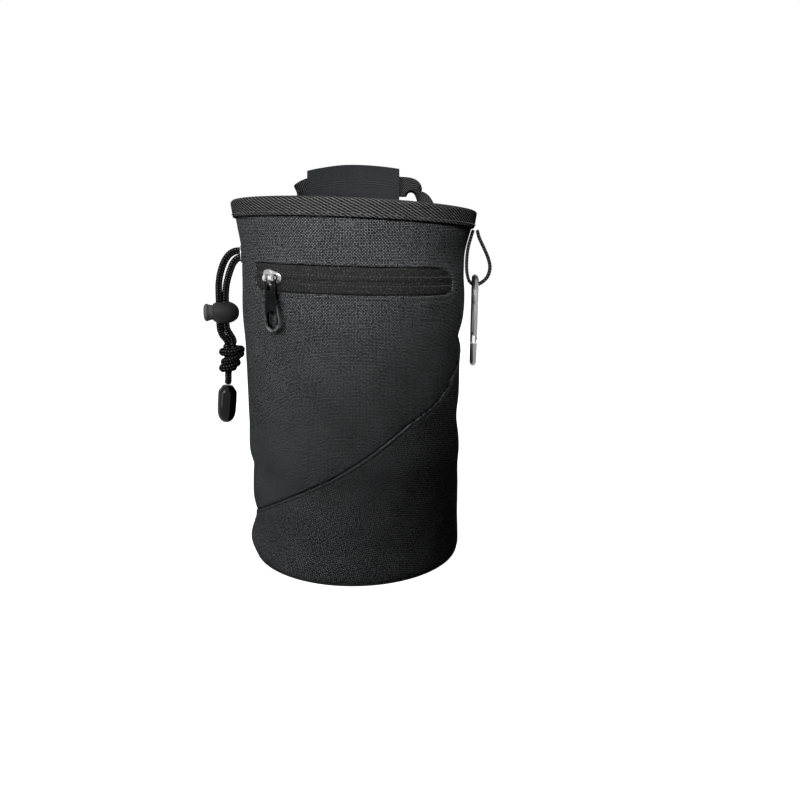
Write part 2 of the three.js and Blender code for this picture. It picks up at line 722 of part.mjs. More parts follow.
// A flat band along a path: each row gives the band's middle, and the direction of its width.
function band(rows, width, thickness, stepsPerRow) {
  const middle = new THREE.CatmullRomCurve3(rows.map((row) => new THREE.Vector3(...row.at)));
  const broad = new THREE.CatmullRomCurve3(rows.map((row) => new THREE.Vector3(...row.broad)));
  const steps = (rows.length - 1) * stepsPerRow;
  const sections = [];
  for (let i = 0; i <= steps; i++) {
    const place = middle.getPoint(i / steps);
    const along = middle.getTangent(i / steps);
    const across = broad.getPoint(i / steps);
    across.addScaledVector(along, -across.dot(along)).setLength(width / 2);
    const thick = new THREE.Vector3().crossVectors(along, across).setLength(thickness / 2);
    sections.push(
      [[1, 1], [-1, 1], [-1, -1], [1, -1]].map(([a, b]) =>
        place.clone().addScaledVector(across, a).addScaledVector(thick, b),
      ),
    );
  }
  return skin(sections);
}

// Side loop: a teardrop of narrow webbing sewn under the binding, and the carabiner that hangs in it.
// The free part of the loop: outwards and down from where it is sewn, as shares of its length.
const loopStations = [
  { out: 0.15, down: 0.127 },
  { out: 0.25, down: 0.331 },
  { out: 0.335, down: 0.52 },
  { out: 0.37, down: 0.687 },
  { out: 0.325, down: 0.855 },
  { out: 0.215, down: 0.96 },
  { out: 0.105, down: 1.0 },
  { out: 0.005, down: 0.942 },
  { out: -0.045, down: 0.804 },
];
const loopSewn = [0.6, 0.35, 0.13, 0]; // where its inner side lies on the wall, as shares of its length

function sideLoop() {
  const top = rimTop(loopAzimuth) - bindingHeight - 2 * clearance;
  const side = sideGroup(loopAzimuth, 0, 0);
  const onWall = (z) => wallRadius(loopAzimuth, z) + 1.5 * clearance + loopThickness / 2;
  const root = wallRadius(loopAzimuth, top);
  const route = [
    [onWall(top) + loopThickness + clearance, top],
    ...loopStations.map(({ out, down }) => [root + out * loopLength, top - down * loopLength]),
    ...loopSewn.map((down) => top - down * loopLength).map((z) => [onWall(z), z]),
  ];
  const rows = route.map(([out, up]) => ({ at: [out, 0, up], broad: [0, 1, 0] }));
  piece(side, "side_loop", band(rows, loopWidth, loopThickness, 2), strapWebbing);
  const lowest = loopStations.find(({ down }) => down === 1);
  carabiner(root + lowest.out * loopLength, top - loopLength + loopThickness / 2);
}

// The carabiner in its own plane: Y across it, Z up, origin at the middle of the top bow's wire.
function carabiner(out, loopFace) {
  const wire = carabinerWire / 2;
  const half = carabinerWidth / 2 - wire;
  const bowRadius = half;
  const sag = bowRadius - wire - Math.sqrt((bowRadius - wire) ** 2 - (loopWidth / 2) ** 2);
  const group = sideGroup(loopAzimuth, out, loopFace + 2 * clearance + sag + wire);
  group.rotation.z += radians(carabinerTurn);
  const bottom = -(carabinerHeight - carabinerWire);
  const hinge = bottom + half + 4.5;
  const nose = hinge + gateLength + 0.6;
  const shoulder = hinge - wire - 0.7;
  const corner = (centre, from, to, count) => {
    const points = [];
    for (let i = 0; i <= count; i++) {
      const angle = radians(THREE.MathUtils.lerp(from, to, i / count));
      points.push(new THREE.Vector3(0, half * Math.cos(angle), centre + half * Math.sin(angle)));
    }
    return points;
  };
  const points = [
    new THREE.Vector3(0, -half, nose),
    ...corner(-half, 180, 0, 8),
    new THREE.Vector3(0, half, (bottom - half) / 2),
    ...corner(bottom + half, 0, -180, 8),
    new THREE.Vector3(0, -half, shoulder),
  ];
  const frame = tube(new THREE.CatmullRomCurve3(points, false, "centripetal"), wire, 8, 40);
  const tongue = box(1.6, 3, hinge - shoulder + 2.6, 0, -half, (hinge + shoulder) / 2 + 0.3);
  const pin = rod("x", gatePinRadius, carabinerWire + 0.2, 10, 0, -half, hinge);
  piece(group, "carabiner_frame", join(frame, tongue, pin), carabinerMetal);

  const gateGroup = new THREE.Group();
  gateGroup.position.set(0, -half, hinge);
  group.add(gateGroup);
  const stem = rod("z", wire, gateLength, 10, 0, 0, gateLength / 2);
  const gate = join(stem, new THREE.SphereGeometry(wire, 10, 8));
  const slot = box(1.6 + 2 * clearance, 12, 7, 0, 0, 0);
  const bore = rod("x", gatePinRadius + clearance, 12, 10);
  piece(gateGroup, "carabiner_gate", cut(gate, slot, bore), carabinerMetal);
}

// Carry strap: sewn to the back panel at both ends, twisting flat into the sleeve over its crown
// The sleeve's middle line: shares of its length, then how far it drops and comes forward, as shares of
// its height.
const sleeveStations = [
  { along: -0.6, drop: 0.3, forward: 0.12 },
  { along: -0.5, drop: 0.19, forward: 0.075 },
  { along: -0.32, drop: 0.085, forward: 0.03 },
  { along: -0.12, drop: 0.01, forward: 0.0 },
  { along: 0.08, drop: 0.0, forward: 0.0 },
  { along: 0.3, drop: 0.035, forward: 0.02 },
  { along: 0.5, drop: 0.1, forward: 0.06 },
  { along: 0.6, drop: 0.15, forward: 0.1 },
];
const rimRadius = wallRadius(180, bodyHeight);
const sleeveCentre = new THREE.Vector3(-1, rimRadius + sleeveBehind, bodyHeight + strapStand);
const sleeveDrop = column(sleeveStations, "along", "drop");
const sleeveForward = column(sleeveStations, "along", "forward");

function sleeveMiddle(along) {
  const x = sleeveCentre.x + sleeveLength * along;
  const y = sleeveCentre.y - sleeveHeight * sleeveForward(along);
  return new THREE.Vector3(x, y, sleeveCentre.z - sleeveHeight * sleeveDrop(along));
}

function carryStrap() {
  const rightAzimuth = 140;
  const leftAzimuth = -150;
  const sewn = (azimuth, z, extra, turn = 1) => ({
    at: around(azimuth, wallRadius(azimuth, z) + clearance + strapThickness / 2 + extra, z).toArray(),
    broad: [turn * Math.cos(radians(azimuth)), turn * Math.sin(radians(azimuth)), 0],
  });
  const free = (azimuth, out, up, broad) => ({
    at: around(azimuth, rimRadius + out * strapStand, bodyHeight + up * strapStand).toArray(),
    broad,
  });
  const inSleeve = (along, broad) => ({ at: sleeveMiddle(along).toArray(), broad });
  const overBinding = bindingThickness + clearance;
  const bindingFoot = bodyHeight - bindingHeight - 2;
  const rows = [
    sewn(rightAzimuth, 0.82 * bodyHeight, 0.1),
    sewn(rightAzimuth, 0.88 * bodyHeight, 0.1),
    sewn(rightAzimuth, bindingFoot - 3, 0.9),
    sewn(rightAzimuth, bindingFoot + 3.5, overBinding + 0.8),
    sewn(rightAzimuth, bodyHeight, overBinding + 1),
    free(142.4, 0.3, 0.24, [-0.66, 0.74, 0.1]),
    free(147.6, 0.46, 0.52, [-0.3, 0.9, 0.35]),
    free(151.7, 0.551, 0.83, [0, 0.36, 0.93]),
    inSleeve(0.5, [0, 0.02, 1]),
    inSleeve(0.25, [0, 0, 1]),
    inSleeve(0, [0, 0, 1]),
    inSleeve(-0.25, [0, 0, 1]),
    inSleeve(-0.5, [0, 0, 1]),
    free(-152.5, 0.6, 0.6, [0.2, -0.1, 0.95]),
    free(-149.6, 0.477, 0.273, [0.8, 0.5, 0.2]),
    sewn(leftAzimuth, bodyHeight, overBinding + 1, -1),
    sewn(leftAzimuth, bindingFoot + 3.5, overBinding + 0.8, -1),
    sewn(leftAzimuth, bindingFoot - 3, 0.9, -1),
    sewn(leftAzimuth, 0.88 * bodyHeight, 0.1, -1),
    sewn(leftAzimuth, 0.82 * bodyHeight, 0.1, -1),
  ];
  piece(bag, "carry_strap", band(rows, strapWidth, strapThickness, 2), strapWebbing);
}

// The sleeve: a flat tube of cloth round the strap's crown.
function strapSleeve() {
  const side = (inset) => (u, v) => {
    const angle = 2 * Math.PI * u;
    const flat = Math.sign(Math.cos(angle)) * Math.abs(Math.cos(angle)) ** 0.7;
    const thick = Math.sign(Math.sin(angle)) * Math.abs(Math.sin(angle)) ** 0.6;
    const point = sleeveMiddle(v - 0.5);
    point.y += (sleeveThickness / 2 - inset) * thick;
    point.z += (sleeveHeight / 2 - inset) * flat;
    return point;
  };
  piece(bag, "strap_sleeve", sheet(14, 8, side(0), side(sleeveWall), true), sleeveCloth);
}

clothWalls();
baseDisc();
rimBinding();
zipTapes();
zipSlider();
drawcord();
sideLoop();
carryStrap();
strapSleeve();

export default bag;
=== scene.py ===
# %% [markdown]
# # A climbing chalk bag
# A round cloth bag with a stiffened mouth stands on its base. A zip pocket crosses its front, a drawcord
# with a spring lock hangs at the left, a small carabiner hangs in a webbing loop at the right, and a carry
# strap with a sleeve stands up behind the mouth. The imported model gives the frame: every piece made here
# lies where the model says, in metres, with the floor at height zero and the front facing -Y.

# %% Loading the frame
import math

import bmesh
import bpy
import numpy as np
from mathutils import Matrix


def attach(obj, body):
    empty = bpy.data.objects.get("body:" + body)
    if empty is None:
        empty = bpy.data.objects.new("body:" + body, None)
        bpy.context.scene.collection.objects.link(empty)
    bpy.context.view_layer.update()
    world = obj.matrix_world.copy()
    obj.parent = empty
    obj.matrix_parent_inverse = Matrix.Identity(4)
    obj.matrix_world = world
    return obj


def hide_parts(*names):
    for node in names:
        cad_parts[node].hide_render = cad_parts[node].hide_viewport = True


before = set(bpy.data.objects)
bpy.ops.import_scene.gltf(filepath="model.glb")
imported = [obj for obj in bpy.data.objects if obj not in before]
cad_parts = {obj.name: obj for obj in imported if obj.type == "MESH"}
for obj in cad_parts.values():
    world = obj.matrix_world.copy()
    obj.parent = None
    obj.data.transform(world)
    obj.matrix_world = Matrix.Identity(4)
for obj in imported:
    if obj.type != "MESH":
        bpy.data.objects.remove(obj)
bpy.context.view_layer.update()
MM = 0.001

# %% [markdown]
# ## Where the camera stands
# The bag is seen from a little above its mouth and slightly from its left, from about 0.4 m. A camera
# could be aimed with a constraint, but a fixed matrix keeps it still whatever happens to the scene: the
# camera is tipped down, turned, and rolled by a fraction of a degree.

# %% Camera
CAMERA_PLACE = (0.0, -0.396, 0.172)
CAMERA_TURN = -3.52  # degrees about the upright axis
CAMERA_TIP = 12.5  # degrees down from level
CAMERA_ROLL = 0.4
LENS = 32.6  # millimetres on a 36 mm wide sensor

camera_data = bpy.data.cameras.new("camera")
camera_data.lens = LENS
camera_data.sensor_width = 36.0
camera_data.clip_start = 0.01
camera = bpy.data.objects.new("camera", camera_data)
bpy.context.scene.collection.objects.link(camera)
standing = Matrix.Translation(CAMERA_PLACE)
for angle, axis in ((CAMERA_TURN, "Z"), (90 - CAMERA_TIP, "X"), (CAMERA_ROLL, "Z")):
    standing = standing @ Matrix.Rotation(math.radians(angle), 4, axis)
camera.matrix_world = standing
bpy.context.scene.camera = camera

# %% [markdown]
# ## Surfaces from arrays
# Every piece below is a grid of places: rows by columns of points, worked out all at once. A grid whose
# last column lands on its first one is a tube, and one whose first row is a single place has a pole. The
# grid is first laid out unwrapped, so that each corner keeps its own texture place, and then points that
# coincide are merged, which closes seams and poles. Lengths are millimetres until the mesh is made.


# %% From a grid to a mesh
def grid_faces(rows, columns, copies=1):
    """Corner numbers of the quads of a grid, row by row, for several grids laid one after the other."""
    first = np.arange(rows - 1)[:, None] * columns + np.arange(columns - 1)[None, :]
    quad = np.stack([first, first + 1, first + columns + 1, first + columns], -1).reshape(-1, 4)
    shift = np.arange(copies)[:, None, None] * rows * columns
    return (quad[None] + shift).reshape(-1, 4)


def mesh_piece(name, places, faces, texture_places, materials, face_materials=None):
    """A mesh object from places in millimetres, quads and a texture place for each point. Points closer
    than a thousandth of a millimetre become one."""
    mesh = bpy.data.meshes.new(name)
    points = places.reshape(-1, 3) * MM
    mesh.vertices.add(len(points))
    mesh.vertices.foreach_set("co", points.ravel())
    mesh.loops.add(faces.size)
    mesh.loops.foreach_set("vertex_index", faces.ravel().astype(np.int32))
    mesh.polygons.add(len(faces))
    mesh.polygons.foreach_set("loop_start", np.arange(len(faces), dtype=np.int32) * 4)
    if face_materials is not None:
        mesh.polygons.foreach_set("material_index", face_materials.astype(np.int32))
    layer = mesh.uv_layers.new(name="UVMap")
    flat = texture_places.reshape(-1, 2)[faces.ravel()]
    layer.data.foreach_set("uv", flat.astype(np.float32).ravel())
    mesh.update(calc_edges=True)
    built = bmesh.new()
    built.from_mesh(mesh)
    bmesh.ops.remove_doubles(built, verts=built.verts, dist=1e-6)
    bmesh.ops.recalc_face_normals(built, faces=built.faces)
    built.to_mesh(mesh)
    built.free()
    mesh.polygons.foreach_set("use_smooth", np.ones(len(mesh.polygons), bool))
    for material in materials:
        mesh.materials.append(material)
    piece = bpy.data.objects.new(name, mesh)
    bpy.context.scene.collection.objects.link(piece)
    return piece


def surface(name, places, texture_places, material):
    """A piece from one grid of places, or from several grids of the same size stacked together."""
    rows, columns = places.shape[-3:-1]
    copies = int(np.prod(places.shape[:-3]))
    return mesh_piece(name, places, grid_faces(rows, columns, copies), texture_places, [material])


def slab(name, front, back, texture_places, materials):
    """A sheet with thickness: a front grid and a back grid of the same size, joined round their edges.
    The back and the rim take the second material."""
    rows, columns = front.shape[:2]
    faces = grid_faces(rows, columns)
    size = rows * columns
    number = np.arange(size).reshape(rows, columns)
    border = np.concatenate(
        [number[0, :], number[1:, -1], number[-1, -2::-1], number[-2:0:-1, 0], number[0, :1]]
    )
    rim = np.stack([border[1:], border[:-1], border[:-1] + size, border[1:] + size], -1)
    every = np.concatenate([faces, faces[:, ::-1] + size, rim])
    kind = np.concatenate([np.zeros(len(faces)), np.full(len(faces), 1), np.zeros(len(rim))])
    both = np.stack([front, back])
    return mesh_piece(name, both, every, np.stack([texture_places] * 2), materials, kind)


def crossed(rows, columns):
    """Every pair of one number from rows and one from columns, as a grid of texture places."""
    return np.stack(np.broadcast_arrays(rows[:, None], columns[None, :]), -1)


def settle(piece, body, slot, *nodes):
    """Says which body carries a piece and which model nodes it stands for. The slot is not used."""
    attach(piece, body)
    if nodes:
        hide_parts(*nodes)


# %% Curves through chosen points
def smooth(x, places, values):
    """A cubic on each stretch between chosen places. Its slope at a place is the mean of the straight
    slopes on that place's two sides."""
    places, values = np.asarray(places, float), np.asarray(values, float)
    straight = np.diff(values) / np.diff(places)
    slope = np.concatenate([straight[:1], (straight[:-1] + straight[1:]) / 2, straight[-1:]])
    x = np.clip(x, places[0], places[-1])
    i = np.clip(np.searchsorted(places, x, side="right") - 1, 0, len(places) - 2)
    width = places[i + 1] - places[i]
    t = (x - places[i]) / width
    start = (1 + 2 * t) * (1 - t) ** 2 * values[i] + t * (1 - t) ** 2 * width * slope[i]
    end = t * t * (3 - 2 * t) * values[i + 1] + t * t * (t - 1) * width * slope[i + 1]
    return start + end


def spline(points, t):
    """A curve through points, t from 0 to 1: on each stretch a cubic whose end slopes come from the three
    nearest points, each weighted by the square root of its distance, so that it never overshoots."""
    points = np.asarray(points, float)
    before = 2 * points[:1] - points[1:2]
    after = 2 * points[-1:] - points[-2:-1]
    p = np.concatenate([before, points, after])
    gap = np.sqrt(np.linalg.norm(np.diff(p, axis=0), axis=1))
    gap = np.where(gap < 1e-4, 1.0, gap)[:, None]
    step = np.diff(p, axis=0)
    two = p[2:] - p[:-2]
    slope = step[:-1] / gap[:-1] - two / (gap[:-1] + gap[1:]) + step[1:] / gap[1:]
    stretch = np.clip(t, 0, 1) * (len(points) - 1)
    i = np.minimum(stretch.astype(int), len(points) - 2)
    w = (stretch - i)[:, None]
    long = gap[i + 1]
    start = (1 + 2 * w) * (1 - w) ** 2 * points[i] + w * (1 - w) ** 2 * long * slope[i]
    end = w * w * (3 - 2 * w) * points[i + 1] + w * w * (w - 1) * long * slope[i + 1]
    return start + end


def even(points, count, fine=4000):
    """Values of t that cut the curve through points into pieces of equal length."""
    t = np.linspace(0, 1, fine)
    run = np.concatenate([[0], np.cumsum(np.linalg.norm(np.diff(spline(points, t), axis=0), axis=1))])
    return np.interp(np.linspace(0, run[-1], count), run, t)


def unit(vectors):
    return vectors / np.linalg.norm(vectors, axis=-1, keepdims=True)


def run_length(path):
    """Distance along a path at each of its points."""
    return np.concatenate([[0], np.cumsum(np.linalg.norm(np.diff(path, axis=0), axis=1))])


def laid(path, first, second, section):
    """A section at every point of a path, with its two numbers taken along two directions. The section is
    one for all points, or one for each."""
    return path[:, None] + section[..., :1] * first[:, None] + section[..., 1:] * second[:, None]


def sweep(path, side, section):
    """A section carried along an open path: its first number lies along side, and its second is square to
    both the path and side."""
    along = unit(np.gradient(path, axis=0))
    side = unit(side - (side * along).sum(-1, keepdims=True) * along)
    return laid(path, side, np.cross(along, side), section)


def round_direction(path):
    """The direction of travel along a closed path, whose last point is its first."""
    along = np.roll(path[:-1], -1, axis=0) - np.roll(path[:-1], 1, axis=0)
    return unit(np.concatenate([along, along[:1]]))


def squarish(wave, power):
    """A sine or cosine drawn out towards a square wave, for sections with nearly square corners."""
    return np.sign(wave) * np.abs(wave) ** power


def eased_ends(length, reach):
    """0 at both ends of a run and 1 further than reach from them, rising as a quarter circle does."""
    close = np.minimum(length, length[-1] - length)
    return np.sqrt(np.clip(1 - (1 - np.clip(close / reach, 0, 1)) ** 2, 0, 1))


def step_between(low, high, x):
    """0 below low, 1 above high, and a smooth rise between."""
    t = np.clip((x - low) / (high - low), 0, 1)
    return t * t * (3 - 2 * t)


# %% [markdown]
# ## The sizes of the bag
# These are the model's own sizes, so that each finished piece lies on the solid it stands for. An azimuth
# is measured round the bag from its front, positive towards the right, in degrees.

# %% Sizes shared by the pieces
BODY_HEIGHT = 188.0
BODY_RADIUS = 59.0
RIM_RISE = 2.2
RIM_FRONT_RISE = 2.2
WALL = 2.6
BASE_THICKNESS = 3.0
BINDING_HEIGHT = 8.7
BINDING_THICKNESS = 1.3
CLEARANCE = 0.3
POCKET_LENGTH = 114.4
POCKET_SHIFT = 0.7
POCKET_HEIGHT = 13.6
POCKET_BELOW_MOUTH = 35.0
POCKET_DROP = 2.4
POCKET_RECESS = 1.7
# How far each corner of the window reaches along it and across it.
LEFT_CORNER = (4.0, 4.0)
TOP_RIGHT_CORNER = (18.0, 5.8)
BOTTOM_RIGHT_CORNER = (8.0, 4.0)
CORD_AZIMUTH = -82.0
EYELET_HEIGHT = BODY_HEIGHT - 24.0
CORD_DIAMETER = 3.5

# Each row: share of the height, share of the radius, lean to the right.
WALL_PROFILE = np.array([
    (0.0, 0.966, 0.0), (0.016, 0.988, -0.004), (0.048, 0.994, -0.012), (0.09, 0.98, -0.002),
    (0.181, 0.981, -0.006), (0.266, 0.976, -0.009), (0.319, 0.991, -0.015), (0.399, 0.981, -0.02),
    (0.489, 0.983, -0.018), (0.585, 0.986, -0.02), (0.65, 0.992, -0.02), (0.702, 0.998, -0.022),
    (0.771, 1.001, -0.017), (0.835, 0.997, -0.014), (0.878, 0.998, -0.01), (0.915, 1.017, -0.005),
    (0.947, 1.039, 0.0), (1.0, 1.056, 0.0),
])
# Each row: azimuth, height share, spread in degrees, spread in height, depth share, climb per degree.
FOLDS = np.array([
    (84, 0.65, 20, 0.03, 0.028, 0.0006), (76, 0.74, 16, 0.06, -0.012, 0),
    (62, 0.885, 16, 0.045, 0.016, 0.0008), (88, 0.41, 20, 0.04, 0.012, -0.001),
    (30, 0.6, 22, 0.09, 0.012, 0.001), (-38, 0.5, 24, 0.12, 0.01, 0),
    (8, 0.24, 30, 0.1, -0.012, 0.0015), (-80, 0.125, 26, 0.03, 0.022, 0.0005),
    (-78, 0.05, 24, 0.03, -0.014, 0), (-84, 0.275, 18, 0.025, 0.014, 0),
    (-128, 0.62, 14, 0.16, 0.02, 0.001), (-165, 0.3, 18, 0.14, 0.018, -0.001),
    (166, 0.68, 14, 0.1, 0.016, 0), (128, 0.45, 16, 0.18, 0.02, 0.001),
    (118, 0.12, 20, 0.05, 0.018, -0.001),
])
# Each row: share of the side seams' azimuth, share of the height.
DIAGONAL_SEAM = np.array([
    (-1.0, 0.112), (-0.8, 0.143), (-0.4, 0.235), (-0.13, 0.305), (0.08, 0.37),
    (0.3, 0.441), (0.54, 0.497), (0.76, 0.573), (1.0, 0.64),
])


def around(azimuth, radius, z):
    """The place at an azimuth, a distance from the bag's axis and a height."""
    angle = np.radians(azimuth)
    return np.stack(np.broadcast_arrays(radius * np.sin(angle), -radius * np.cos(angle), z), -1)


def wall_radius(azimuth, z):
    """Outer radius of the cloth: the profile at that height, leaning to one side by the sine of the
    azimuth, less a bell-shaped dent for each fold."""
    share = np.clip(np.asarray(z, float) / BODY_HEIGHT, 0, 1)
    azimuth, share = np.broadcast_arrays(np.asarray(azimuth, float), share)
    profile = smooth(share, WALL_PROFILE[:, 0], WALL_PROFILE[:, 1])
    lean = smooth(share, WALL_PROFILE[:, 0], WALL_PROFILE[:, 2])
    across = (azimuth[..., None] - FOLDS[:, 0] + 540) % 360 - 180
    up = share[..., None] - FOLDS[:, 1] - FOLDS[:, 5] * across
    dent = FOLDS[:, 4] * np.exp(-((across / FOLDS[:, 2]) ** 2) - (up / FOLDS[:, 3]) ** 2)
    return BODY_RADIUS * (profile + lean * np.sin(np.radians(azimuth)) - dent.sum(-1))


def rim_top(azimuth):
    front = RIM_FRONT_RISE * np.cos(np.radians(azimuth) / 2) ** 4
    return BODY_HEIGHT - RIM_RISE * np.sin(np.radians(azimuth)) + front


def wall_top(azimuth):
    return rim_top(azimuth) - BINDING_THICKNESS - CLEARANCE


def seam_height(azimuth):
    return BODY_HEIGHT * smooth(azimuth / 90.0, DIAGONAL_SEAM[:, 0], DIAGONAL_SEAM[:, 1])


def pocket_middle(along):
    return BODY_HEIGHT - POCKET_BELOW_MOUTH - POCKET_DROP * along / POCKET_LENGTH


def along_wall(azimuth):
    return np.radians(azimuth) * BODY_RADIUS


def window_distance(azimuth, z):
    """Distance from the pocket window's outline, negative inside: a box whose corners are quarter ellipses.
    With k = |(x/a, y/b)|, a place near an ellipse lies about k (k - 1) / |(x/a^2, y/b^2)| outside it."""
    along = along_wall(azimuth) - POCKET_SHIFT
    up = z - pocket_middle(along_wall(azimuth))
    right = [np.where(up > 0, top, low) for top, low in zip(TOP_RIGHT_CORNER, BOTTOM_RIGHT_CORNER)]
    a, b = [np.where(along < 0, left, other) for left, other in zip(LEFT_CORNER, right)]
    x = np.abs(along) - (POCKET_LENGTH / 2 - a)
    y = np.abs(up) - (POCKET_HEIGHT / 2 - b)
    inner_x, inner_y = np.maximum(x, 1e-6), np.maximum(y, 1e-6)
    k = np.hypot(inner_x / a, inner_y / b)
    round_corner = k * (k - 1) / np.hypot(inner_x / a**2, inner_y / b**2)
    return np.where((x > 0) & (y > 0), round_corner, np.maximum(x - a, y - b))


# %% [markdown]
# ## The drawcord's route
# A braided cord comes out of an eyelet as two strands, runs down through the lock and is knotted, and one
# tail goes on into a plastic end. The route lies in the upright plane through the eyelet, so it is drawn
# as distances outwards and up from there. The two strands' lengths are printed. Cords are settled before
# anything else, because their length and bends are checked.

# %% Cord routes
OUTER_ROUTE = [
    (-2.2, 1.75), (0.8, 1.75), (3.6, 1.4), (6.4, -0.2), (8.6, -3.0), (10.5, -7.1), (11.7, -11.3),
    (12.4, -15.4), (12.6, -20.0), (12.7, -25.0), (12.7, -31.0), (12.9, -36.4), (12.6, -39.6),
    (11.5, -42.4), (10.0, -44.3),
]
THROUGH_KNOT = [(8.8, -47.0), (8.3, -51.0), (8.4, -55.5), (9.0, -59.5)]
TAIL_ROUTE = [(9.6, -62.8), (9.7, -65.8), (10.1, -68.6)]
INNER_ROUTE = [
    (-2.2, -1.75), (0.9, -1.75), (2.7, -2.5), (4.6, -4.6), (6.2, -8.0), (7.5, -11.8), (8.5, -15.6),
    (9.1, -20.0), (9.3, -25.0), (9.3, -31.0), (9.5, -36.0), (9.2, -38.8), (7.8, -41.6), (6.3, -44.6),
    (6.4, -47.2),
]


def side_frame(azimuth, radius, z):
    """Origin and axes of a frame on the bag's side: outwards, round the bag, and up."""
    angle = np.radians(azimuth)
    outwards = np.array([np.sin(angle), -np.cos(angle), 0.0])
    sideways = np.array([np.cos(angle), np.sin(angle), 0.0])
    return around(azimuth, radius, z).astype(float), outwards, sideways, np.array([0.0, 0.0, 1.0])


def in_frame(where, local):
    """Places given as outwards, round and up in a side frame."""
    origin, outwards, sideways, upwards = where
    local = np.asarray(local, float)
    return origin + local[..., :1] * outwards + local[..., 1:2] * sideways + local[..., 2:] * upwards


cord_frame = side_frame(CORD_AZIMUTH, wall_radius(CORD_AZIMUTH, EYELET_HEIGHT), EYELET_HEIGHT)


def flat_route(points):
    """A route in the cord's upright plane, as places."""
    points = np.asarray(points, float)
    return in_frame(cord_frame, np.stack([points[:, 0], 0 * points[:, 0], points[:, 1]], -1))


outer_points = flat_route(OUTER_ROUTE + THROUGH_KNOT + TAIL_ROUTE)
inner_points = flat_route(INNER_ROUTE)
outer_path = spline(outer_points, even(outer_points, 260))
inner_path = spline(inner_points, even(inner_points, 150))
print("strands", round(run_length(outer_path)[-1], 1), "and", round(run_length(inner_path)[-1], 1), "mm")

# %% [markdown]
# ## Effects that several finishes share
# A weave, slanting ribs, fine grain and worn edges appear on more than one finish, so each is built once
# as a node group with named inputs and outputs. A group gives heights and masks; the shader itself stays in
# the material.


# %% Node helpers
class Nodes:
    """Adds nodes to a tree from left to right and links them by name."""

    def __init__(self, tree):
        self.tree = tree
        self.count = 0

    def add(self, kind, **settings):
        node = self.tree.nodes.new(kind)
        node.location = (170 * (self.count % 12), -240 * (self.count // 12))
        self.count += 1
        for key, value in settings.items():
            setattr(node, key, value)
        return node

    def join(self, source, target):
        self.tree.links.new(source, target)

    def feed(self, socket, value):
        """A socket takes a link from another socket, or a plain value."""
        if isinstance(value, bpy.types.NodeSocket):
            self.join(value, socket)
        else:
            socket.default_value = value

    def math(self, operation, first, second=None, third=None):
        node = self.add("ShaderNodeMath", operation=operation)
        self.feed(node.inputs[0], first)
        if second is not None:
            self.feed(node.inputs[1], second)
        if third is not None:
            self.feed(node.inputs[2], third)
        return node.outputs[0]

    def noise(self, place, scale, detail=2.0, roughness=0.5):
        node = self.add("ShaderNodeTexNoise")
        self.feed(node.inputs["Vector"], place)
        node.inputs["Scale"].default_value = scale
        node.inputs["Detail"].default_value = detail
        node.inputs["Roughness"].default_value = roughness
        return node.outputs["Fac"]

    def stretch(self, place, scale):
        """A place scaled by three numbers."""
        node = self.add("ShaderNodeMapping")
        self.feed(node.inputs["Vector"], place)
        node.inputs["Scale"].default_value = scale
        return node.outputs["Vector"]

    def ramp(self, value, low, high, to_low=0.0, to_high=1.0):
        node = self.add("ShaderNodeMapRange")
        self.feed(node.inputs["Value"], value)
        node.inputs["From Min"].default_value = low
        node.inputs["From Max"].default_value = high
        self.feed(node.inputs["To Min"], to_low)
        self.feed(node.inputs["To Max"], to_high)
        return node.outputs["Result"]

    def blend(self, factor, first, second):
        node = self.add("ShaderNodeMix", data_type="RGBA")
        self.feed(node.inputs[0], factor)
        self.feed(node.inputs[6], first)
        self.feed(node.inputs[7], second)
        return node.outputs[2]

    def group(self, tree, **inputs):
        node = self.add("ShaderNodeGroup")
        node.node_tree = tree
        for name, value in inputs.items():
            self.feed(node.inputs[name.replace("_", " ")], value)
        return node

    def bump(self, height, distance):
        node = self.add("ShaderNodeBump")
        node.inputs["Distance"].default_value = distance
        self.join(height, node.inputs["Height"])
        return node.outputs["Normal"]


def group_tree(name, inputs, outputs):
    """A node group with its sockets: inputs as (name, kind, default), outputs as (name, kind)."""
    tree = bpy.data.node_groups.new(name, "ShaderNodeTree")
    for label, kind, default in inputs:
        socket = tree.interface.new_socket(label, in_out="INPUT", socket_type=kind)
        if default is not None:
            socket.default_value = default
    for label, kind in outputs:
        tree.interface.new_socket(label, in_out="OUTPUT", socket_type=kind)
    nodes = Nodes(tree)
    start = nodes.add("NodeGroupInput")
    end = tree.nodes.new("NodeGroupOutput")
    end.location = (2200, 0)
    return tree, nodes, start, end


VALUE, VECTOR = "NodeSocketFloat", "NodeSocketVector"

# %% [markdown]
# ### Plain weave
# In a plain weave each thread passes over and under by turns, so the cloth is a chequer of small pillows:
# warp threads on top in one set of squares, weft threads in the other. The product of two sines has just
# that chequer in its sign and a pillow in its size. Threads also differ from one another, which two noises
# show, each drawn out along one thread direction.

# %% Plain weave group
plain_weave, n, start, end = group_tree(
    "plain weave",
    [("Place", VECTOR, None), ("Pitch", VALUE, 0.65)],
    [("Height", VALUE), ("Warp on top", VALUE), ("Thread", VALUE)],
)
parts = n.add("ShaderNodeSeparateXYZ")
n.join(start.outputs["Place"], parts.inputs[0])
half_turn = n.math("DIVIDE", math.pi, start.outputs["Pitch"])
across = n.math("SINE", n.math("MULTIPLY", parts.outputs["X"], half_turn))
upward = n.math("SINE", n.math("MULTIPLY", parts.outputs["Y"], half_turn))
product = n.math("MULTIPLY", across, upward)
pillow = n.math("POWER", n.math("ABSOLUTE", product), 0.6)
over = n.math("GREATER_THAN", product, 0.0)
n.join(pillow, end.inputs["Height"])
n.join(over, end.inputs["Warp on top"])
warp_noise = n.noise(n.stretch(start.outputs["Place"], (1.5, 0.055, 1.0)), 1.0, 2.0)
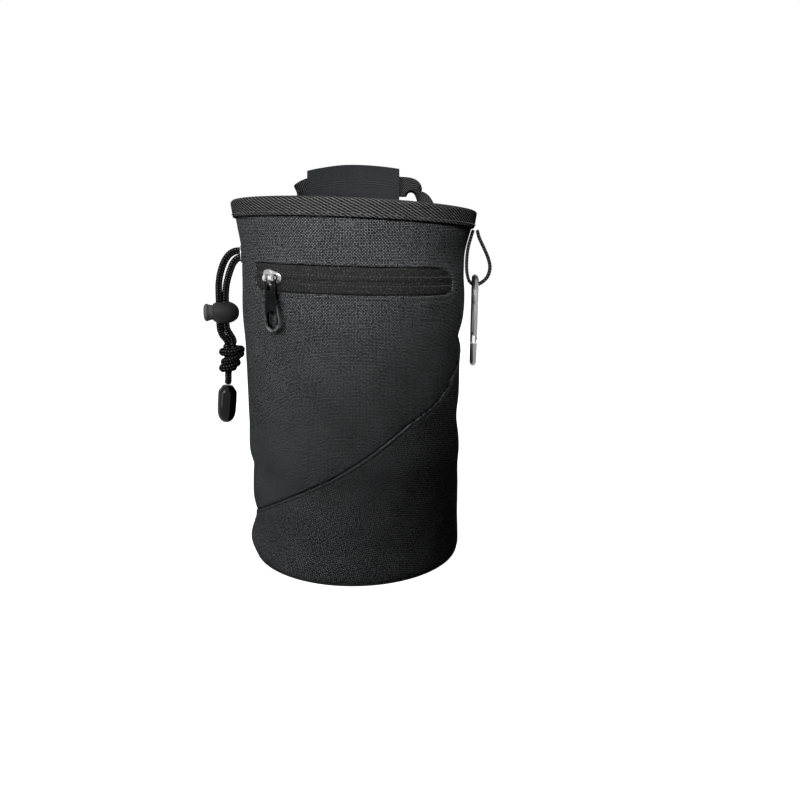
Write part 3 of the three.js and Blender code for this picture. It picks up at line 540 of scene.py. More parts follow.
weft_noise = n.noise(n.stretch(start.outputs["Place"], (0.055, 1.5, 1.0)), 1.0, 2.0)
weft_share = n.math("MULTIPLY", weft_noise, n.math("SUBTRACT", 1.0, over))
n.join(n.math("MULTIPLY_ADD", warp_noise, over, weft_share), end.inputs["Thread"])

# %% [markdown]
# ### Slanting ribs
# Webbing and binding tape show fine ribs that slant across them. A sine of the slanted distance gives the
# ribs, and a slower sine across them breaks each rib into its threads.

# %% Rib group
slanting_ribs, n, start, end = group_tree(
    "slanting ribs",
    [("Place", VECTOR, None), ("Pitch", VALUE, 1.3), ("Slant", VALUE, 1.0), ("Thread", VALUE, 0.6)],
    [("Height", VALUE), ("Rib", VALUE)],
)
parts = n.add("ShaderNodeSeparateXYZ")
n.join(start.outputs["Place"], parts.inputs[0])
slanted = n.math("MULTIPLY_ADD", parts.outputs["Y"], start.outputs["Slant"], parts.outputs["X"])


def sine_along(distance, pitch):
    """A wave of the given length along a distance."""
    return n.math("SINE", n.math("DIVIDE", n.math("MULTIPLY", distance, 2 * math.pi), pitch))


rib = sine_along(slanted, start.outputs["Pitch"])
threads = sine_along(parts.outputs["Y"], start.outputs["Thread"])
rounded = n.math("POWER", n.math("MULTIPLY_ADD", rib, 0.5, 0.5), 0.7)
n.join(rounded, end.inputs["Rib"])
n.join(n.math("MULTIPLY_ADD", threads, 0.22, rounded), end.inputs["Height"])

# %% [markdown]
# ### Grain and worn edges
# Moulded plastic and metal are never quite even: a fine grain breaks up the gloss. Where edges rub, paint
# and polish wear first, and the mesh's own pointiness finds those edges.

# %% Grain group and edge group
fine_grain, n, start, end = group_tree(
    "fine grain", [("Place", VECTOR, None)], [("Height", VALUE), ("Smudge", VALUE)]
)
in_millimetres = n.stretch(start.outputs["Place"], (1000, 1000, 1000))
n.join(n.noise(in_millimetres, 2.2, 3.0, 0.6), end.inputs["Height"])
n.join(n.noise(in_millimetres, 0.16, 3.0, 0.6), end.inputs["Smudge"])

worn_edges, n, start, end = group_tree(
    "worn edges", [("Place", VECTOR, None), ("Amount", VALUE, 0.5)], [("Wear", VALUE)]
)
geometry = n.add("ShaderNodeNewGeometry")
edge = n.ramp(geometry.outputs["Pointiness"], 0.518, 0.55)
broken = n.noise(n.stretch(start.outputs["Place"], (500, 500, 500)), 1.0, 4.0, 0.6)
patch = n.ramp(broken, 0.3, 0.5)
n.join(n.math("MULTIPLY", n.math("MULTIPLY", edge, patch), start.outputs["Amount"]), end.inputs["Wear"])

# %% [markdown]
# ## Finishes
# Each finish is one material: a Principled shader whose colour, roughness and normal vary over the surface
# through the groups above. Cloth reads the texture places in millimetres, and solid pieces read their own
# Object coordinates in metres.


# %% Starting a material
def new_material(name):
    material = bpy.data.materials.new(name)
    material.use_nodes = True
    material.node_tree.nodes.clear()
    nodes = Nodes(material.node_tree)
    shader = nodes.add("ShaderNodeBsdfPrincipled")
    output = nodes.add("ShaderNodeOutputMaterial")
    nodes.join(shader.outputs[0], output.inputs[0])
    coordinates = nodes.add("ShaderNodeTexCoord")
    return material, nodes, shader, coordinates


def grey(value, warm=0.0):
    return (value * (1 + warm), value, value * (1 - warm), 1.0)


# %% Woven finishes
def woven(name, pitch, dark, light, roughness, bump, tint=0.0, streak=0.5, speckled=0.2):
    """A plain-woven cloth: the weave's pillows set the bump, and their crests are painted lighter as a
    painted highlight, with painted shade in the hollows between them. Single threads are lighter or darker
    than their neighbours, and random specks make the painted highlight stronger or weaker along the rows."""
    material, nodes, shader, coordinates = new_material(name)
    place = coordinates.outputs["UV"]
    weave = nodes.group(plain_weave, Place=place, Pitch=pitch)
    cloudy = nodes.noise(place, 0.035, 3.0, 0.6)
    thread = nodes.ramp(weave.outputs["Thread"], 0.36, 0.66, 1.0 - streak, 1.0 + streak)
    # Painted highlight: the crests of the weave's pillows are lighter and the hollows between them darker.
    crest_highlight = nodes.math("POWER", weave.outputs["Height"], 2.0)
    lift = nodes.math("MULTIPLY", crest_highlight, thread)
    warp = nodes.math("MULTIPLY_ADD", weave.outputs["Warp on top"], 0.55, 0.45)
    lift = nodes.math("MULTIPLY", lift, warp)
    lift = nodes.math("MULTIPLY", lift, nodes.ramp(cloudy, 0.3, 0.7, 0.8, 1.15))
    speckle = nodes.noise(place, 0.9 / pitch, 1.0)
    speckle = nodes.ramp(speckle, 0.35, 0.65, 1.0 - speckled, 1.0 + speckled)
    lift = nodes.math("MULTIPLY", lift, speckle)
    nodes.join(nodes.blend(lift, grey(dark, tint), grey(light, tint)), shader.inputs["Base Color"])
    shader.inputs["Roughness"].default_value = roughness
    shader.inputs["Specular IOR Level"].default_value = 0.0
    nodes.join(nodes.bump(weave.outputs["Height"], bump * MM), shader.inputs["Normal"])
    return material


shell_cloth = woven("shell cloth", 0.7, 0.002, 0.3, 0.85, 0.25, tint=-0.03, streak=0.22, speckled=0.75)
lining_cloth = woven("lining cloth", 0.32, 0.012, 0.03, 0.8, 0.05, tint=-0.02, streak=0.2)
sleeve_cloth = woven("sleeve cloth", 0.42, 0.02, 0.09, 0.8, 0.05, tint=-0.07, streak=0.2)


# %% Ribbed finishes
def ribbed(name, pitch, slant, thread, dark, light, roughness, bump, tint=0.0, crest_glint=0.0):
    """Webbing or tape: slanting ribs set the bump, their crests are painted lighter and their grooves darker
    as painted highlight and shade, and painted glints of light grey sit in spots on the crests.
    """
    material, nodes, shader, coordinates = new_material(name)
    place = coordinates.outputs["UV"]
    ribs = nodes.group(slanting_ribs, Place=place, Pitch=pitch, Slant=slant, Thread=thread)
    # Painted glints: spots on the rib crests are lifted towards light grey.
    speck = nodes.ramp(nodes.noise(place, 1.4, 2.0, 0.6), 0.56, 0.7)
    crest_highlight = nodes.math("MULTIPLY", ribs.outputs["Rib"], speck)
    # Painted highlight and shade: the ribs' crests are lighter and their grooves darker.
    painted_rib_light = nodes.math("POWER", nodes.math("MAXIMUM", ribs.outputs["Height"], 0.0), 2.4)
    colour = nodes.blend(painted_rib_light, grey(dark, tint), grey(light, tint))
    colour = nodes.blend(nodes.math("MULTIPLY", crest_highlight, crest_glint), colour, grey(0.3))
    nodes.join(colour, shader.inputs["Base Color"])
    shader.inputs["Roughness"].default_value = roughness
    shader.inputs["Specular IOR Level"].default_value = 0.0
    nodes.join(nodes.bump(ribs.outputs["Height"], bump * MM), shader.inputs["Normal"])
    return material


binding_tape = ribbed("binding tape", 2.7, 2.0, 0.7, 0.001, 0.14, 0.85, 0.3, crest_glint=0.7)
zip_tape = ribbed("zip tape", 0.9, 1.0, 0.6, 0.002, 0.06, 0.85, 0.08, crest_glint=0.6)
strap_webbing = ribbed("strap webbing", 1.5, 1.0, 0.8, 0.003, 0.09, 0.85, 0.2)


# %% Thread and cord
def braided(name, dark, light, crest_glint):
    """A round braid. Its texture places are already counted along the two strand directions, so the
    plain weave drawn in them winds round the cord both ways. The crossings are painted lighter, a painted
    highlight, and the crests of the strands on top carry painted glints."""
    material, nodes, shader, coordinates = new_material(name)
    place = coordinates.outputs["UV"]
    weave = nodes.group(plain_weave, Place=place, Pitch=1.0)
    # Painted glints on the crests of the top strands, over a painted highlight on every crossing.
    crest_highlight = nodes.ramp(weave.outputs["Height"], 0.55, 0.95)
    crest_highlight = nodes.math("MULTIPLY", crest_highlight, weave.outputs["Warp on top"])
    colour = nodes.blend(weave.outputs["Height"], grey(dark), grey(light))
    colour = nodes.blend(nodes.math("MULTIPLY", crest_highlight, crest_glint), colour, grey(0.3))
    nodes.join(colour, shader.inputs["Base Color"])
    shader.inputs["Roughness"].default_value = 0.8
    shader.inputs["Specular IOR Level"].default_value = 0.0
    nodes.join(nodes.bump(weave.outputs["Height"], 0.15 * MM), shader.inputs["Normal"])
    return material


cord_braid = braided("cord braid", 0.001, 0.012, 0.45)


def thread(name, dark, light):
    """Sewing thread, whose fine noise stands for its twist."""
    material, nodes, shader, coordinates = new_material(name)
    twist = nodes.noise(nodes.stretch(coordinates.outputs["Object"], (1500, 1500, 1500)), 1.0, 2.0)
    nodes.join(nodes.blend(twist, grey(dark), grey(light)), shader.inputs["Base Color"])
    shader.inputs["Roughness"].default_value = 0.55
    nodes.join(nodes.bump(twist, 0.05 * MM), shader.inputs["Normal"])
    return material


sewing_thread = thread("sewing thread", 0.008, 0.08)
zip_thread = thread("zip thread", 0.005, 0.06)
# Near black, for the window's lip: a painted shadow for the dark gap round the pocket window.
window_gap_shadow = thread("window gap shadow", 0.001, 0.004)


# %% Metals and plastics
def hard(name, colour, second, roughness, metallic, grain, wear=0.0, worn=None):
    """Metal or moulded plastic: fine grain in the bump, smudges in the roughness and colour, and worn
    edges where wear is above nought."""
    material, nodes, shader, coordinates = new_material(name)
    place = coordinates.outputs["Object"]
    grained = nodes.group(fine_grain, Place=place)
    smudge = nodes.ramp(grained.outputs["Smudge"], 0.3, 0.7)
    tone = nodes.blend(smudge, colour, second)
    if wear:
        edges = nodes.group(worn_edges, Place=place, Amount=wear)
        tone = nodes.blend(edges.outputs["Wear"], tone, worn)
    nodes.join(tone, shader.inputs["Base Color"])
    nodes.join(nodes.ramp(smudge, 0.0, 1.0, roughness * 0.85, roughness * 1.25), shader.inputs["Roughness"])
    shader.inputs["Metallic"].default_value = metallic
    shader.inputs["Specular IOR Level"].default_value = 0.5 if metallic else 0.2
    nodes.join(nodes.bump(grained.outputs["Height"], grain * MM), shader.inputs["Normal"])
    return material


nickel_finish = hard("nickel", grey(0.62, 0.02), grey(0.45, 0.02), 0.2, 1.0, 0.01)
slider_finish = hard("zip slider metal", grey(0.5), grey(0.3), 0.25, 1.0, 0.01, 0.6, grey(0.8))
pull_finish = hard("zip pull enamel", grey(0.004), grey(0.008), 0.28, 1.0, 0.006, 1.0, grey(0.75))
lock_finish = hard("lock plastic", grey(0.02), grey(0.03), 0.6, 0.0, 0.03)
button_finish = hard("lock button plastic", grey(0.1), grey(0.13), 0.6, 0.0, 0.03)
end_finish = hard("cord end plastic", grey(0.003), grey(0.004), 0.12, 0.0, 0.004)
carabiner_finish = hard("carabiner metal", grey(0.3), grey(0.26), 0.3, 1.0, 0.006)

# %% [markdown]
# ## Cords, knot and their fittings
# A braid could be many swept strands, but at this size the strands are only 0.3 mm high. So each cord is
# one tube whose radius swells under every crossing of the braid, and its material repeats the same
# crossings as bump and as a painted highlight in the colour.

# %% A braided tube
BRAID_STRANDS = 6
BRAID_PITCH = 1.35  # along the cord, for one crossing
BRAID_SWELL = 0.06  # of the radius, under a crossing
SIDES = 36


def braided_tube(path, radius):
    """A tube along a path. Its two texture places count crossings along the two strand directions: turns
    times strands, plus and less the length in crossings. The radius swells by their chequered product.
    Both ends close to a point."""
    length = run_length(path)
    turn = np.linspace(0, 1, SIDES + 1)
    first = turn[None, :] * BRAID_STRANDS + length[:, None] / BRAID_PITCH
    second = turn[None, :] * BRAID_STRANDS - length[:, None] / BRAID_PITCH
    crossing = np.abs(np.sin(np.pi * first) * np.sin(np.pi * second)) ** 0.6
    reach = radius * (1 - BRAID_SWELL / 2 + BRAID_SWELL * crossing)
    reach = reach * eased_ends(length, 0.6 * radius)[:, None]
    angle = 2 * np.pi * turn
    section = np.stack([reach * np.cos(angle), reach * np.sin(angle)], -1)
    side = np.broadcast_to(cord_frame[2], path.shape)
    return sweep(path, side, section), np.stack([first, second], -1)


def cord_strand(name, path, far_end, *nodes):
    """A strand's tube, and a dictionary of facts about it: where it leaves, its length, diameter, far end and
    path, and that it is limp and hangs.
    """
    tube = surface(name, *braided_tube(path, CORD_DIAMETER / 2), cord_braid)
    settle(tube, "bag", "cord", *nodes)
    length = run_length(path)[-1] * MM
    diameter = CORD_DIAMETER * MM
    facts = dict(exit=path[0] * MM, length=length, diameter=diameter, far_end=far_end, path=path * MM)
    return tube, dict(facts, stiffness="limp", lay="hanging")


# %% The knot
KNOT_STRANDS = 8
KNOT_PITCH = 1.15


def knot_wrap(out, up, reach, tilt, thickness):
    """One wrap of the knot: a ring tilted so that it rises outwards, a little uneven as hand-tied."""
    turn = np.linspace(0, 2 * np.pi, 121)
    uneven = 1 + 0.03 * np.sin(2 * turn + 0.7)
    x = reach * uneven * np.cos(turn)
    y = reach * uneven * np.sin(turn) * 0.94
    slope = math.tan(math.radians(tilt))
    local = np.stack([out + x, y, up - slope * x + 0.25 * np.sin(3 * turn)], -1)
    path = in_frame(cord_frame, local)
    length = run_length(path)
    sides = np.linspace(0, 1, SIDES + 1)
    crossings = 2 * round(length[-1] / KNOT_PITCH / 2)
    run = length / length[-1] * crossings
    first = sides[None, :] * KNOT_STRANDS + run[:, None]
    second = sides[None, :] * KNOT_STRANDS - run[:, None]
    swell = 0.95 + 0.08 * np.abs(np.sin(np.pi * first) * np.sin(np.pi * second)) ** 0.6
    angle = 2 * np.pi * sides
    section = thickness * swell[..., None] * np.stack([np.cos(angle), np.sin(angle)], -1)
    along = round_direction(path)
    inward = unit(np.cross(along, (0.0, 0.0, 1.0)))
    return laid(path, inward, np.cross(inward, along), section), np.stack([first, second], -1)


# Each wrap: distance outwards, height, reach, tilt in degrees and half thickness.
wraps = [knot_wrap(*sizes) for sizes in (
    (7.2, -50.4, 4.5, 7, 2.2), (8.6, -58.2, 3.4, 22, 2.3), (7.0, -54.2, 4.1, 27, 2.1)
)]
knot_places, knot_texture = [np.stack(grids) for grids in zip(*wraps)]
knot = surface("knot_wraps", knot_places, knot_texture, cord_braid)
settle(knot, "bag", "cord", "drawcord_knot")

core_route = flat_route([(9.0, -45.6), (8.2, -48.5), (7.9, -54.2), (8.3, -59.0), (8.6, -61.4)])
core_path = spline(core_route, even(core_route, 60))
knot_core = surface("knot_core", *braided_tube(core_path, 3.4), cord_braid)
settle(knot_core, "bag", "cord")

outer_cord, outer_facts = cord_strand(
    "cord_outer", outer_path, "fitting", "drawcord_outer_strand", "drawcord_tail"
)
inner_cord, inner_facts = cord_strand("cord_inner", inner_path, "knot", "drawcord_inner_strand")

# %% [markdown]
# ### Eyelet, lock and cord end
# These are turned shapes: a profile spun about an axis. The lock's barrel and button also have a slot for
# the two strands, which a boolean cuts once, before the mesh is final.


# %% Turned pieces
def turned(name, profile, where, material, sides=64, axis="out"):
    """A profile of (radius, distance along the axis) pairs spun about a frame's outward or upward axis.
    Its texture places are the arc round it and the run along the profile, in millimetres."""
    profile = np.asarray(profile, float)
    angle = np.linspace(0, 2 * np.pi, sides + 1)
    radius, along = profile[:, :1], profile[:, 1:]
    ring = [radius * np.cos(angle), radius * np.sin(angle)]
    shift = along + 0 * angle
    order = [shift, ring[0], ring[1]] if axis == "out" else [ring[0], ring[1], shift]
    places = in_frame(where, np.stack(order, -1))
    run = run_length(profile)[:, None] + 0 * angle
    texture = np.stack([profile[:, 0].max() * angle[None, :] + 0 * run, run], -1)
    return surface(name, places, texture, material)


def without(piece, low, high, where):
    """The piece less a box given by two corners in a side frame, cut with a boolean and made final."""
    ends = list(zip(low, high))
    local = np.array([[x, y, z] for x in ends[0] for y in ends[1] for z in ends[2]], float)
    cutter_mesh = bpy.data.meshes.new("cutter")
    faces = [(0, 1, 3, 2), (4, 6, 7, 5), (0, 4, 5, 1), (2, 3, 7, 6), (0, 2, 6, 4), (1, 5, 7, 3)]
    cutter_mesh.from_pydata((in_frame(where, local) * MM).tolist(), [], faces)
    fresh = bmesh.new()
    fresh.from_mesh(cutter_mesh)
    bmesh.ops.recalc_face_normals(fresh, faces=fresh.faces)
    fresh.to_mesh(cutter_mesh)
    fresh.free()
    cutter = bpy.data.objects.new("cutter", cutter_mesh)
    bpy.context.scene.collection.objects.link(cutter)
    modifier = piece.modifiers.new("slot", "BOOLEAN")
    modifier.operation = "DIFFERENCE"
    modifier.object = cutter
    modifier.solver = "EXACT"
    view = bpy.context.evaluated_depsgraph_get()
    final = bpy.data.meshes.new_from_object(piece.evaluated_get(view))
    piece.modifiers.clear()
    piece.data = final
    bpy.data.objects.remove(cutter)


def bevelled(piece, width, segments=2):
    """Rounds the edges that are sharper than 35 degrees."""
    bevel = piece.modifiers.new("bevel", "BEVEL")
    bevel.width = width * MM
    bevel.segments = segments
    bevel.limit_method = "ANGLE"
    bevel.angle_limit = math.radians(35)


eyelet_profile = [
    (3.5, -3.0), (4.0, -3.1), (4.2, -2.9), (4.2, -0.1), (4.45, 0.0), (4.5, 0.2), (4.42, 0.42), (4.2, 0.62),
    (3.9, 0.7), (3.68, 0.64), (3.53, 0.45), (3.5, 0.2), (3.5, -3.0),
]
eyelet_frame = (cord_frame[0] + CLEARANCE * cord_frame[1],) + cord_frame[1:]
eyelet = turned("eyelet_ring", eyelet_profile, eyelet_frame, nickel_finish)
settle(eyelet, "bag", "nickel", "eyelet")

LOCK_OUT, LOCK_DOWN, LOCK_RADIUS, LOCK_HALF = 10.4, 30.0, 5.9, 7.8
LOCK_MOUTH = 5.4
SLOT_START, SLOT_END, SLOT_HALF_WIDTH = -2.9, 4.1, 1.8
BUTTON_TRAVEL = 2.5
lock_frame = (in_frame(cord_frame, (LOCK_OUT, 0, -LOCK_DOWN)),) + cord_frame[1:]
turn = np.linspace(0, np.arccos(-LOCK_MOUTH / LOCK_HALF), 40)
egg_out = -LOCK_HALF * np.cos(turn)
egg_radius = LOCK_RADIUS * np.clip(1 - np.abs(egg_out / LOCK_HALF) ** 2.2, 0, 1) ** (1 / 2.2)
mouth_radius = egg_radius[-1]
bore = [
    (mouth_radius - 0.15, 5.5), (mouth_radius - 0.4, 5.55), (4.65, 5.5), (4.5, 5.35), (4.5, -1.6),
    (3.1, -1.6), (3.1, -6.7), (0, -6.7),
]
barrel_profile = np.concatenate([np.stack([egg_radius, egg_out], -1), bore])
barrel_profile[0, 0] = 0
barrel = turned("lock_barrel", barrel_profile, lock_frame, lock_finish, sides=56)
without(barrel, (SLOT_START, -SLOT_HALF_WIDTH, -12), (SLOT_END, SLOT_HALF_WIDTH, 12), lock_frame)
bevelled(barrel, 0.22)
settle(barrel, "bag", "lock_plastic", "cord_lock_barrel")

button_profile = [
    (0, -3.9), (2.5, -3.9), (2.8, -3.6), (2.8, 1.1), (4.0, 1.1), (4.2, 1.3), (4.2, 8.0), (4.5, 8.1),
    (4.64, 8.35), (4.62, 8.9), (4.45, 9.4), (4.0, 9.9), (3.2, 10.25), (2.2, 10.38), (0, 10.4),
]
button = turned("lock_button", button_profile, lock_frame, button_finish, sides=56)
slot_end = SLOT_END + BUTTON_TRAVEL + 0.4
without(button, (SLOT_START, -SLOT_HALF_WIDTH, -12), (slot_end, SLOT_HALF_WIDTH + 0.1, 12), lock_frame)
bevelled(button, 0.12)
settle(button, "cord_lock_button", "lock_plastic", "cord_lock_button")

END_RADIUS, END_LENGTH, END_TILT = 5.0, 20.6, -5.0
end_origin = in_frame(cord_frame, (TAIL_ROUTE[-1][0], 0, TAIL_ROUTE[-1][1] - CLEARANCE))
tilt = math.radians(END_TILT)
end_out = math.cos(tilt) * cord_frame[1] - math.sin(tilt) * cord_frame[3]
end_up = math.sin(tilt) * cord_frame[1] + math.cos(tilt) * cord_frame[3]
end_frame = (end_origin, end_out, cord_frame[2], end_up)
end_shares = [
    (0, 0), (0.4, 0), (0.5, -0.004), (0.56, -0.015), (0.7, -0.065), (0.92, -0.145), (0.975, -0.18),
    (0.99, -0.25), (1, -0.45), (0.97, -0.7), (0.9, -0.8), (0.78, -0.88), (0.6, -0.94), (0.35, -0.985),
    (0, -1),
]
end_profile = np.array(end_shares) * (END_RADIUS, END_LENGTH)
cord_end = turned("cord_end_cap", end_profile, end_frame, end_finish, sides=48, axis="up")
settle(cord_end, "bag", "cord_end_plastic", "cord_end")

# %% [markdown]
# ## The cloth walls
# The shell is padded cloth: a lower front panel that rises from left to right, an upper front panel above
# it, and a back panel. It could be a cylinder shaped by modifiers, but here the wall's radius is a
# function of azimuth and height, so every panel is cut from the same surface and its edges meet. Small
# relief is added to the radius: the rolled edge round the pocket window and the stitch grooves.


# %% Relief of the cloth
SEAM_COSINE = 0.87  # of the diagonal seam's mean slope
SEAM_SLANT = 1.15  # height that spans a distance of one across the seam


def hill(distance, middle, width):
    """A bell-shaped rise."""
    return np.exp(-(((distance - middle) / width) ** 2))


def ripples(azimuth, z):
    """Faint unevenness of padded cloth: a few crossing waves, about a tenth of a millimetre high."""
    a = np.radians(azimuth)
    wave = 0.11 * np.sin(7 * a + 0.045 * z + 1.3) * np.sin(0.11 * z + 2 * a)
    wave = wave + 0.08 * np.sin(13 * a - 0.07 * z + 0.4) * np.sin(0.17 * z - 3 * a + 2.0)
    wave = wave + 0.05 * np.sin(23 * a + 0.13 * z + 2.1) * np.sin(0.29 * z + 5 * a + 0.6)
    return wave


def puckers(along, distance, reach=3.5, pitch=5.2):
    """Small gathers that a row of stitches pulls into the cloth beside it."""
    wander = np.sin(2 * np.pi * along / pitch + 1.5 * np.sin(along / 17.0))
    return 0.09 * wander * np.exp(-np.abs(distance) / reach)


def tucked(side):
    """A panel's edge turned under at a side seam."""
    return -0.5 * (1 - step_between(0.0, 1.4, side))


def rolled_foot(z):
    """The cloth rolled in where it meets the base."""
    return -1.2 * (1 - step_between(0.0, 1.6, z)) ** 2


def front_relief(azimuth, z):
    """What the upper panel adds to the wall: a padded rise round the pocket window, a groove under the
    window's stitches, the sunken window itself, and the turned-under edge along the diagonal seam."""
    d = window_distance(azimuth, z)
    along = along_wall(azimuth)
    above_seam = (z - seam_height(azimuth)) * SEAM_COSINE
    under_binding = rim_top(azimuth) - BINDING_HEIGHT - z
    relief = 0.35 * hill(d, 1.1, 1.2) - 0.32 * hill(d, 2.6, 0.4) + 0.18 * hill(d, 4.4, 1.6)
    relief = relief + puckers(along, d - 2.6) * step_between(0.3, 1.5, d)
    relief = relief - 1.9 * (1 - step_between(-0.55, 0.15, d))
    relief = relief - 0.65 * (1 - step_between(0.0, 1.3, above_seam))
    relief = relief + puckers(along, above_seam, 5.0, 7.0) * step_between(0.3, 1.5, above_seam)
    relief = relief + puckers(along, under_binding, 6.0, 6.1) + tucked(along_wall(90 - np.abs(azimuth)))
    return relief + ripples(azimuth, z) * step_between(0.0, 4.0, d)


def lower_relief(azimuth, z):
    """What the lower panel adds: a folded lip along the diagonal seam, a stitch groove below it, and the
    turned-in edges at the sides and the base."""
    below_seam = (seam_height(azimuth) - z) * SEAM_COSINE
    along = along_wall(azimuth)
    lip = step_between(-0.1, 0.35, below_seam)
    relief = 0.42 * hill(below_seam, 0.8, 0.9) * lip - 0.3 * (1 - lip)
    relief = relief - 0.28 * hill(below_seam, 2.1, 0.38) + 0.12 * hill(below_seam, 3.6, 1.2)
    relief = relief + puckers(along, below_seam - 2.1, 4.0, 5.6)
    return relief + tucked(along_wall(90 - np.abs(azimuth))) + rolled_foot(z) + ripples(azimuth, z)


def back_relief(azimuth, z):
    """What the back panel adds: turned-in edges at its sides and base, and gathers under the binding."""
    under_binding = rim_top(azimuth) - BINDING_HEIGHT - z
    side = along_wall(np.minimum(azimuth - 90, 270 - azimuth))
    relief = puckers(along_wall(azimuth), under_binding, 6.0, 6.1) - 0.25 * hill(side, 3.0, 0.4)
    return relief + tucked(side) + rolled_foot(z) + ripples(azimuth, z)


# %% Grid lines that gather where the relief is fine
def gathered(anchors, counts):
    """Values that run evenly between anchors, with a chosen number of steps in each stretch. Anchors may
    be arrays, such as heights that change round the bag."""
    pieces = [
        anchors[i][None] + (anchors[i + 1] - anchors[i])[None] * (np.arange(count) / count)[:, None]
        for i, count in enumerate(counts)
    ]
    return np.concatenate(pieces + [anchors[-1][None]])


def line(*stops):
    """Azimuths from (first, last, steps) stretches laid end to end."""
    runs = [np.linspace(a, b, n, endpoint=False) for a, b, n in stops]
    return np.concatenate(runs + [[stops[-1][1]]])


SEAM_GAP = 0.15
EDGE = 90 - math.degrees(SEAM_GAP / BODY_RADIUS)
front_azimuths = line(
    (-EDGE, -87.5, 6), (-87.5, -58.5, 34), (-58.5, -50.5, 30), (-50.5, 48.5, 124), (48.5, 58.5, 36),
    (58.5, 87.5, 34), (87.5, EDGE, 6),
)


def cloth_panel(name, azimuths, heights, relief, node, grain=0.0):
    """A wall panel from a line of azimuths and a grid of heights: the outer face with its relief, and an
    inner face a wall's thickness inside. The grain angle turns the weave."""
    azimuth = np.broadcast_to(azimuths[None, :], heights.shape)
    base = wall_radius(azimuth, heights)
    outer = around(azimuth, base + relief(azimuth, heights), heights)
    inner = around(azimuth, base - WALL, heights)
    u, v = along_wall(azimuth), heights
    cosine, sine = math.cos(math.radians(grain)), math.sin(math.radians(grain))
    texture = np.stack([u * cosine + v * sine, v * cosine - u * sine], -1)
    piece = slab(name, outer, inner, texture, [shell_cloth, lining_cloth])
    settle(piece, "bag", "shell_cloth", node)


middle = pocket_middle(along_wall(front_azimuths))
half = POCKET_HEIGHT / 2
foot = rim_top(front_azimuths) - BINDING_HEIGHT
over_seam = seam_height(front_azimuths) + SEAM_GAP * SEAM_SLANT
upper_rows = gathered(
    [
        over_seam, over_seam + 1.8, middle - half - 4.0, middle - half - 0.8, middle - half + 0.6,
        middle + half - 0.6, middle + half + 0.8, middle + half + 4.0, foot, wall_top(front_azimuths),
    ],
    [6, 46, 10, 7, 8, 7, 10, 16, 5],
)
cloth_panel("upper_cloth", front_azimuths, upper_rows, front_relief, "front_upper_panel")

under_seam = seam_height(front_azimuths) - SEAM_GAP * SEAM_SLANT
nought = 0 * front_azimuths
lower_rows = gathered([nought, nought + 2.0, under_seam - 5.0, under_seam], [6, 66, 16])
cloth_panel("lower_cloth", front_azimuths, lower_rows, lower_relief, "front_lower_panel", grain=33.0)

back_azimuths = line((180 - EDGE, 93.5, 6), (93.5, 266.5, 200), (266.5, 180 + EDGE, 6))
back_top = wall_top(back_azimuths)
nought = 0 * back_azimuths
back_rows = gathered([nought, nought + 2.0, back_top - 12.0, back_top], [6, 110, 12])
cloth_panel("back_cloth", back_azimuths, back_rows, back_relief, "back_panel")

# %% [markdown]
# ### The base
# The base is a disc of the same cloth, sewn in just inside the wall. Its rings run from the middle to the
# edge, and both its faces round off a little there. A thin piping covers the seam round the foot.

# %% Base disc
share = np.concatenate([np.linspace(0, 0.94, 24), np.linspace(0.95, 1.0, 8)])
base_azimuth = np.linspace(0, 360, 241)
edge_radius = wall_radius(base_azimuth, 0.0) - WALL - CLEARANCE
flat_radius = share[:, None] * edge_radius[None, :]
rounding = 0.35 * step_between(0.95, 1.0, share)[:, None]
under = around(base_azimuth[None, :], flat_radius, rounding)
over = around(base_azimuth[None, :], flat_radius, BASE_THICKNESS - rounding)
loop = np.concatenate([under, over[::-1]])
base_disc = surface("base_cloth", loop, loop[..., :2], shell_cloth)
settle(base_disc, "bag", "shell_cloth", "base_disc")

# %% Piping round the foot
PIPING_RADIUS = 0.8
base_azimuth = np.linspace(0, 360, 361)
piping_path = around(base_azimuth, wall_radius(base_azimuth, 0.6) - 0.35, 0.85)
angle = np.linspace(0, 2 * np.pi, 17)
piping_section = PIPING_RADIUS * np.stack([np.cos(angle), np.sin(angle)], -1)
outward = around(base_azimuth, 1.0, 0.0)
upward = np.broadcast_to((0.0, 0.0, 1.0), outward.shape)
piping_places = laid(piping_path, outward, upward, piping_section)
piping = surface("base_piping", piping_places, crossed(along_wall(base_azimuth), angle), strap_webbing)
settle(piping, "bag", "binding_webbing")

# %% [markdown]
# ## Stitches
# A stitch is a short thread that dives into the cloth at both ends. There are hundreds, so each is a small
# capsule with a few dozen faces, and all the stitches of a row are one mesh.


# %% Rows of stitches
def stitch_row(name, path, outward, length, gap=0.7, width=0.34, lift=0.12, material=sewing_thread):
    """Capsules along a path: the path is cut into stitches with gaps between them. A stitch's middle
    stands lift above the path and its ends dive below it, and its radius shrinks to nothing at the ends."""
    run = run_length(path)
    count = int(run[-1] / (length + gap))
    pitch = run[-1] / count
    t = np.linspace(0, 1, 7)
    angle = np.linspace(0, 2 * np.pi, 9)
    at = (np.arange(count) * pitch + gap / 2)[:, None] + (pitch - gap) * t[None, :]
    centre = np.stack([np.interp(at, run, path[:, k]) for k in range(3)], -1)
    up = unit(np.stack([np.interp(at, run, outward[:, k]) for k in range(3)], -1))
    side = unit(np.cross(np.gradient(centre, axis=1), up))
    bow = lift + 0.25 - 0.6 * np.abs(2 * t - 1) ** 3
    radius = width / 2 * np.sqrt(np.clip(1 - np.abs(2 * t - 1) ** 3, 0, 1))
    ring = radius[None, :, None, None] * (
        np.cos(angle)[:, None] * side[:, :, None, :] + np.sin(angle)[:, None] * up[:, :, None, :]
    )
    places = centre[:, :, None, :] + (bow[None, :, None] * up)[:, :, None, :] + ring
    texture = np.stack(np.broadcast_arrays(at[:, :, None], angle), -1)
    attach(surface(name, places, texture, material), "bag")


def on_wall(azimuth, z, lift):
    """A path on the wall and the outward direction at each of its points."""
    return around(azimuth, wall_radius(azimuth, z) + lift, z), around(azimuth, 1.0, 0 * z)


